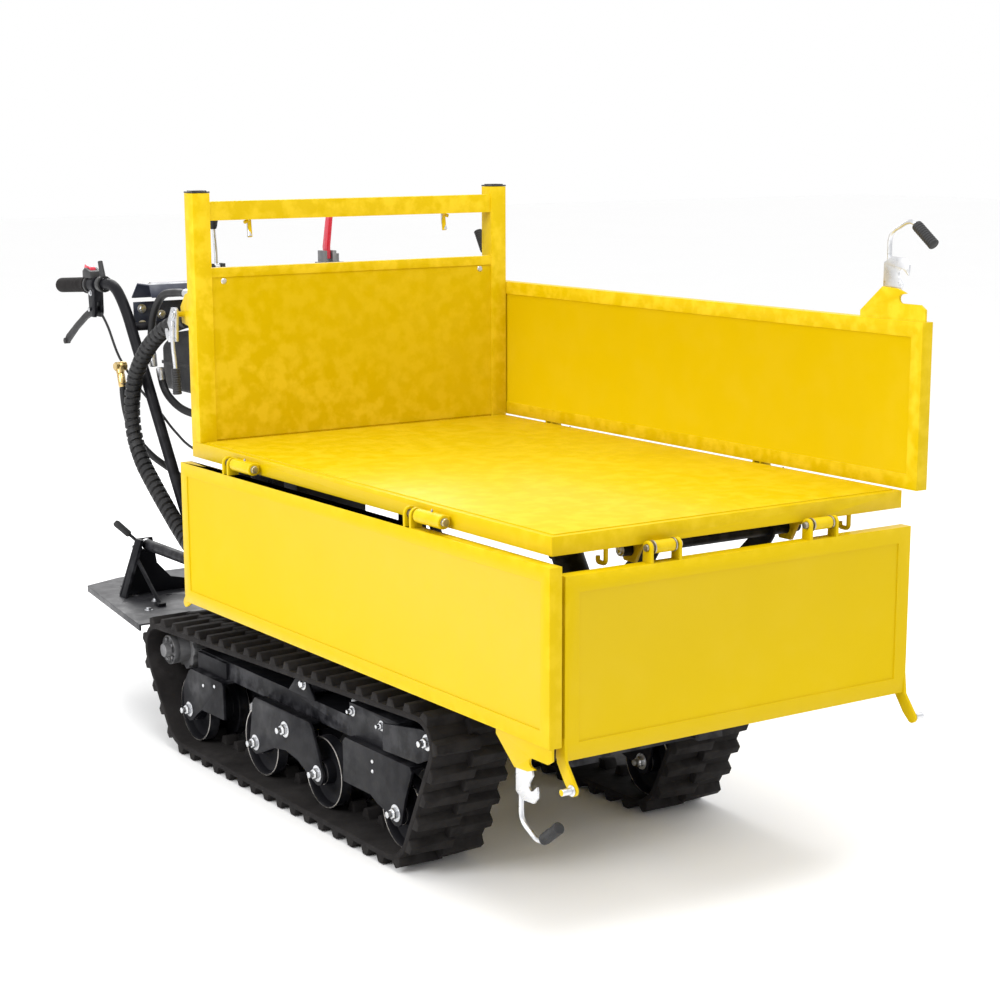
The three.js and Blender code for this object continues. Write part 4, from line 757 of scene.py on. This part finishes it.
def covers():
    copy_of("console_cover", NAVY, "chassis", 1.2, 2)
    shape = Shape()
    for x, z in ((-282, 982), (-282, 944), (-232, 966), (-190, 938), (232, 966), (282, 982), (282, 944)):
        shape.bolt((x, 1845.5, z), (0, 1, 0), 6.5, 4.5)
        shape.bolt((x, 1842.5, z), (0, -1, 0), 7.5, 5)
    for x in (-282, -60, 60, 282):
        shape.bolt((x, 1798, 1042.6), (0, 0, 1), 5.5, 3.6)
    shape.done("cover_bolts", [ZINC], "chassis", bevel=0.4)
    copy_of("fuel_tank", PLASTIC, "chassis", 10, 4)
    shape = Shape()
    shape.profile((90, 1560, 930), (90, 1560, 962.4),
                  [(0, 28), (0.3, 28.2), (0.35, 30), (0.9, 30), (1, 27)], 48)
    for k in range(18):
        angle = 2 * math.pi * k / 18
        x, y = 90 + 30 * math.cos(angle), 1560 + 30 * math.sin(angle)
        shape.rod((x, y, 942), (x, y, 958), 2.2, segments=8)
    # moulded seam round the tank
    rim = [(-271, 1450), (271, 1450), (271, 1766), (-271, 1766)]
    shape.prism("z", rim, 858, 866)
    shape.done("tank_cap", [PLASTIC], "chassis", bevel=0.8, slot="black_plastic")


def engine():
    copy_of("engine_block", BLACK, "chassis", 4.0, 3)
    copy_of("silencer", STEEL, "chassis", 2.0, 2)
    copy_of("hydraulic_tank", BLACK, "chassis", 5.0, 3)
    shape = Shape()
    for k in range(11):
        z = 622 + k * 12
        shape.box(-98, 108, 1512, 1678, z, z + 3.2)
    shape.done("engine_fins", [CAST], "chassis", bevel=0.6, slot="cast")
    shape = Shape()
    shape.profile((20, 1690, 560), (20, 1743, 560), [(0, 96), (0.55, 94), (0.9, 84), (1, 74)], 72)
    for k in range(20):
        angle = 2 * math.pi * k / 20
        a = Vector((20, 1741, 560)) + 34 * Vector((math.cos(angle), 0, math.sin(angle)))
        b = Vector((20, 1741, 560)) + 70 * Vector((math.cos(angle + 0.25), 0, math.sin(angle + 0.25)))
        shape.tube([a, (a + b) / 2, b], 2.6, 8)
    shape.profile((20, 1742, 560), (20, 1748, 560), [(0, 28), (0.8, 27), (1, 24)], 40)
    shape.box(78, 118, 1736, 1750, 612, 626)
    shape.done("recoil_starter", [PLASTIC], "chassis", bevel=0.8, slot="black_plastic")
    shape = Shape()
    for s in (-1, 1):
        for z in (480, 640):
            shape.bolt((20 + s * 78, 1690, z), (0, 1, 0), 6, 5)
    for x in (-100, 110):
        for y in (1530, 1670):
            shape.bolt((x, y, 620), (0, 0, 1), 6, 5)
    shape.rod((-182, 1540, 622), (-182, 1540, 634), 15, 13, 6)
    shape.done("engine_bolts", [ZINC], "chassis", bevel=0.4, slot="zinc")
    copy_of("valve_body", CAST, "chassis", 1.4, 2)
    copy_of("valve_lever", RED, "valve_lever", 3.2, 4)
    copy_of("gear_lever_base", PLASTIC, "chassis", 1.2, 2)
    shape = Shape()
    y, z = 1800, 1074
    shape.ring(-103, y, z, [(-7, 4.6), (7, 4.6), (7, 9), (6, 10), (-6, 10), (-7, 9)], 32)
    shape.tube(bent([(-103, y, z + 8), (-103, y, z + 36), (-112, y - 8, z + 100)], 16), 4.5)
    shape.number = 1
    shape.profile((-111, y - 7, z + 92), (-114, y - 10, z + 123.5),
                  [(0, 7), (0.15, 9), (0.6, 12), (0.85, 11.5), (0.96, 8),
                                                                     (1, 4)], 36)
    shape.done("gear_stick", [ZINC, PLASTIC], "gear_lever", "gear_lever", bevel=0, slot="zinc")
    shape = Shape()
    y, z = 2016, 372
    shape.ring(-240, y, z, [(-6, 5.6), (6, 5.6), (6, 9), (5, 10), (-5, 10), (-6, 9)], 32)
    shape.tube(bent([(-240, y + 3, z + 8), (-240, y + 6, z + 16), (-262, y + 22, z + 40)], 8), 4)
    shape.number = 1
    shape.profile((-252, y + 15, z + 29), (-282, y + 37, z + 62),
                  [(0, 6), (0.08, 8.6), (0.9, 9.2), (1, 6)], 28)
    shape.done("parking_stick", [BLACK, PLASTIC], "parking_lever", "parking_lever", bevel=0)


def step():
    copy_of("step_plate", GREY, "chassis", 1.2, 2)
    copy_of("step_support", BLACK, "chassis", 1.2, 2)
    shape = Shape()
    for s in (-1, 1):
        for x, y in ((304, 1820), (247, 1905), (150, 1752), (150, 1880)):
            shape.bolt((s * x, y, 253.8), (0, 0, 1), 7, 5)
        shape.profile((s * 224, 1988, 380), (s * 224, 1992.5, 380), [(0, 14.3), (0.6, 14.3), (1, 12)], 28)
    shape.done("step_bolts", [ZINC], "chassis", bevel=0.5, slot="zinc")


BUNDLE = [(-300, 1408, 990), (-330, 1475, 987), (-348, 1565, 960), (-355, 1655, 908), (-356, 1723, 842),
          (-356, 1753, 772), (-356, 1749, 702), (-356, 1711, 642), (-356, 1649, 592), (-355, 1572, 538),
          (-354, 1508, 496), (-352, 1458, 470), (-330, 1412, 454), (-290, 1386, 446)]
UPPER_HOSE = [(-288, 1560, 1034), (-288, 1640, 1032), (-288, 1712, 1020), (-288, 1762, 975),
              (-288, 1782, 915),
              (-288, 1774, 850)]
LOWER_HOSE = [(-288, 1740, 850), (-288, 1724, 810), (-286, 1690, 782), (-284, 1620, 762), (-262, 1540, 752),
              (-200, 1490, 730), (-150, 1470, 690)]
BANJO_HOSE = [(-342, 1834, 810), (-341, 1836, 780), (-336, 1834, 735), (-326, 1822, 690), (-300, 1780, 640),
              (-266, 1716, 600), (-244, 1660, 560)]
CLUTCH_CABLE = [(-318, 1998, 962), (-318, 1960, 930), (-318, 1900, 862), (-316, 1800, 800), (-302, 1720, 750),
                (-298, 1650, 712), (-290, 1570, 680), (-240, 1500, 655), (-180, 1470, 650)]


def hoses():
    shape = Shape()

    def wrap(distance, angle):
        share = (distance / 19.0 - angle / (2 * math.pi)) % 1.0
        return 19.0 if 0.16 < share < 0.84 else 15.2

    shape.tube(smooth(BUNDLE, 44), 17, 28, wrap)
    shape.done("hose_wrap", [HOSE], "chassis", "hose_bundle", bevel=0, slot="rubber")
    for name, route, radius in (("upper", UPPER_HOSE, 9), ("lower", LOWER_HOSE, 9)):
        line = smooth(route, 10)
        shape = Shape()
        shape.tube(line, radius, 24)
        shape.number = 1
        for end, nxt in ((line[0], line[3]), (line[-1], line[-4])):
            away = (nxt - end).normalized()
            shape.profile(end - away * 0.4, end + away * 30, [(0, 8), (0.05, 9.9), (0.9, 9.9), (1, 9.2)], 24)
        shape.done(f"hose_{name}", [HOSE, ZINC], "chassis", f"hydraulic_hose_{name}", bevel=0, slot="rubber")
    shape = Shape()
    shape.bolt((-344, 1848, 848), (-1, 0, 0), 10.6, 11.6, False)
    shape.profile((-344, 1848, 848), (-326, 1848, 848), [(0, 10), (0.1, 11), (0.9, 11), (1, 10)])
    shape.profile((-342, 1848, 846), (-342, 1834, 800),
                  [(0, 9.8), (0.3, 9.8), (0.32, 8), (0.36, 9.4), (0.95, 9.4), (1, 8.4)])
    shape.number = 1
    shape.tube(smooth(BANJO_HOSE, 10), 8, 24)
    shape.done("banjo_union", [BRASS, HOSE], "chassis", "banjo_hose", bevel=0, slot="brass")
    shape = Shape()
    shape.tube(smooth(CLUTCH_CABLE, 10), 3, 14)
    shape.done("cable_sheath", [HOSE], "chassis", "clutch_cable", bevel=0, slot="rubber")


# ---------- build ----------
for name, x in (("left", -TRACK_X), ("right", TRACK_X)):
    undercarriage(name, x)
bed()
headboard()
panels()
front_latch(-1, True)
front_latch(1, False)
rear_latch(-1, False)
rear_latch(1, True)
chassis()
cylinder()
handlebars()
covers()
engine()
step()
hoses()

# ---------- floor, light and camera ----------
floor_mat = material("floor", (0.985, 0.985, 0.985), 0.8, spread=0.002, scale=0.7, grain=60, bump=0.01,
                     rough_spread=0.05)
shape = bmesh.new()
bmesh.ops.create_grid(shape, x_segments=2, y_segments=2, size=30)
floor_mesh = bpy.data.meshes.new("floor")
shape.to_mesh(floor_mesh)
shape.free()
floor = bpy.data.objects.new("floor", floor_mesh)
floor_mesh.materials.append(floor_mat)
bpy.context.scene.collection.objects.link(floor)

world = bpy.data.worlds.new("studio")
bpy.context.scene.world = world
world.use_nodes = True
world.node_tree.nodes["Background"].inputs["Color"].default_value = (1, 1, 1, 1)
world.node_tree.nodes["Background"].inputs["Strength"].default_value = 1.0


def lamp(name, at, target, size, power):
    data = bpy.data.lights.new(name, "AREA")
    data.shape = "DISK"
    data.size = size
    data.energy = power
    thing = bpy.data.objects.new(name, data)
    thing.location = at
    thing.rotation_euler = (Vector(target) - Vector(at)).to_track_quat("-Z", "Y").to_euler()
    bpy.context.scene.collection.objects.link(thing)


lamp("key", (-4.9, -0.4, 3.2), (0, 0, 0.5), 2.6, 160)
lamp("top", (-0.5, -1.7, 4.8), (0, 0, 0.6), 3.0, 130)
lamp("fill", (3.8, -1.0, 3.6), (0, 0, 0.5), 3.0, 30)
lamp("back", (1.0, 4.2, 3.2), (0, 0, 0.6), 2.6, 70)

camera_data = bpy.data.cameras.new("camera")
camera_data.lens = 75.38
camera_data.sensor_width = 36
camera_data.shift_x = 0.0203
camera_data.shift_y = 0.0748
camera_data.clip_end = 100
camera = bpy.data.objects.new("camera", camera_data)
camera.location = point(-2378.4, -2768.2, 1392.2)
heading, drop, roll = math.radians(33.54), math.radians(11.985), math.radians(-0.31)
camera.rotation_mode = "QUATERNION"
look = Euler((math.pi / 2 - drop, 0, -heading)).to_quaternion()
camera.rotation_quaternion = look @ Euler((0, 0, roll)).to_quaternion()
bpy.context.scene.collection.objects.link(camera)
bpy.context.scene.camera = camera
bpy.context.scene.view_settings.view_transform = "Standard"
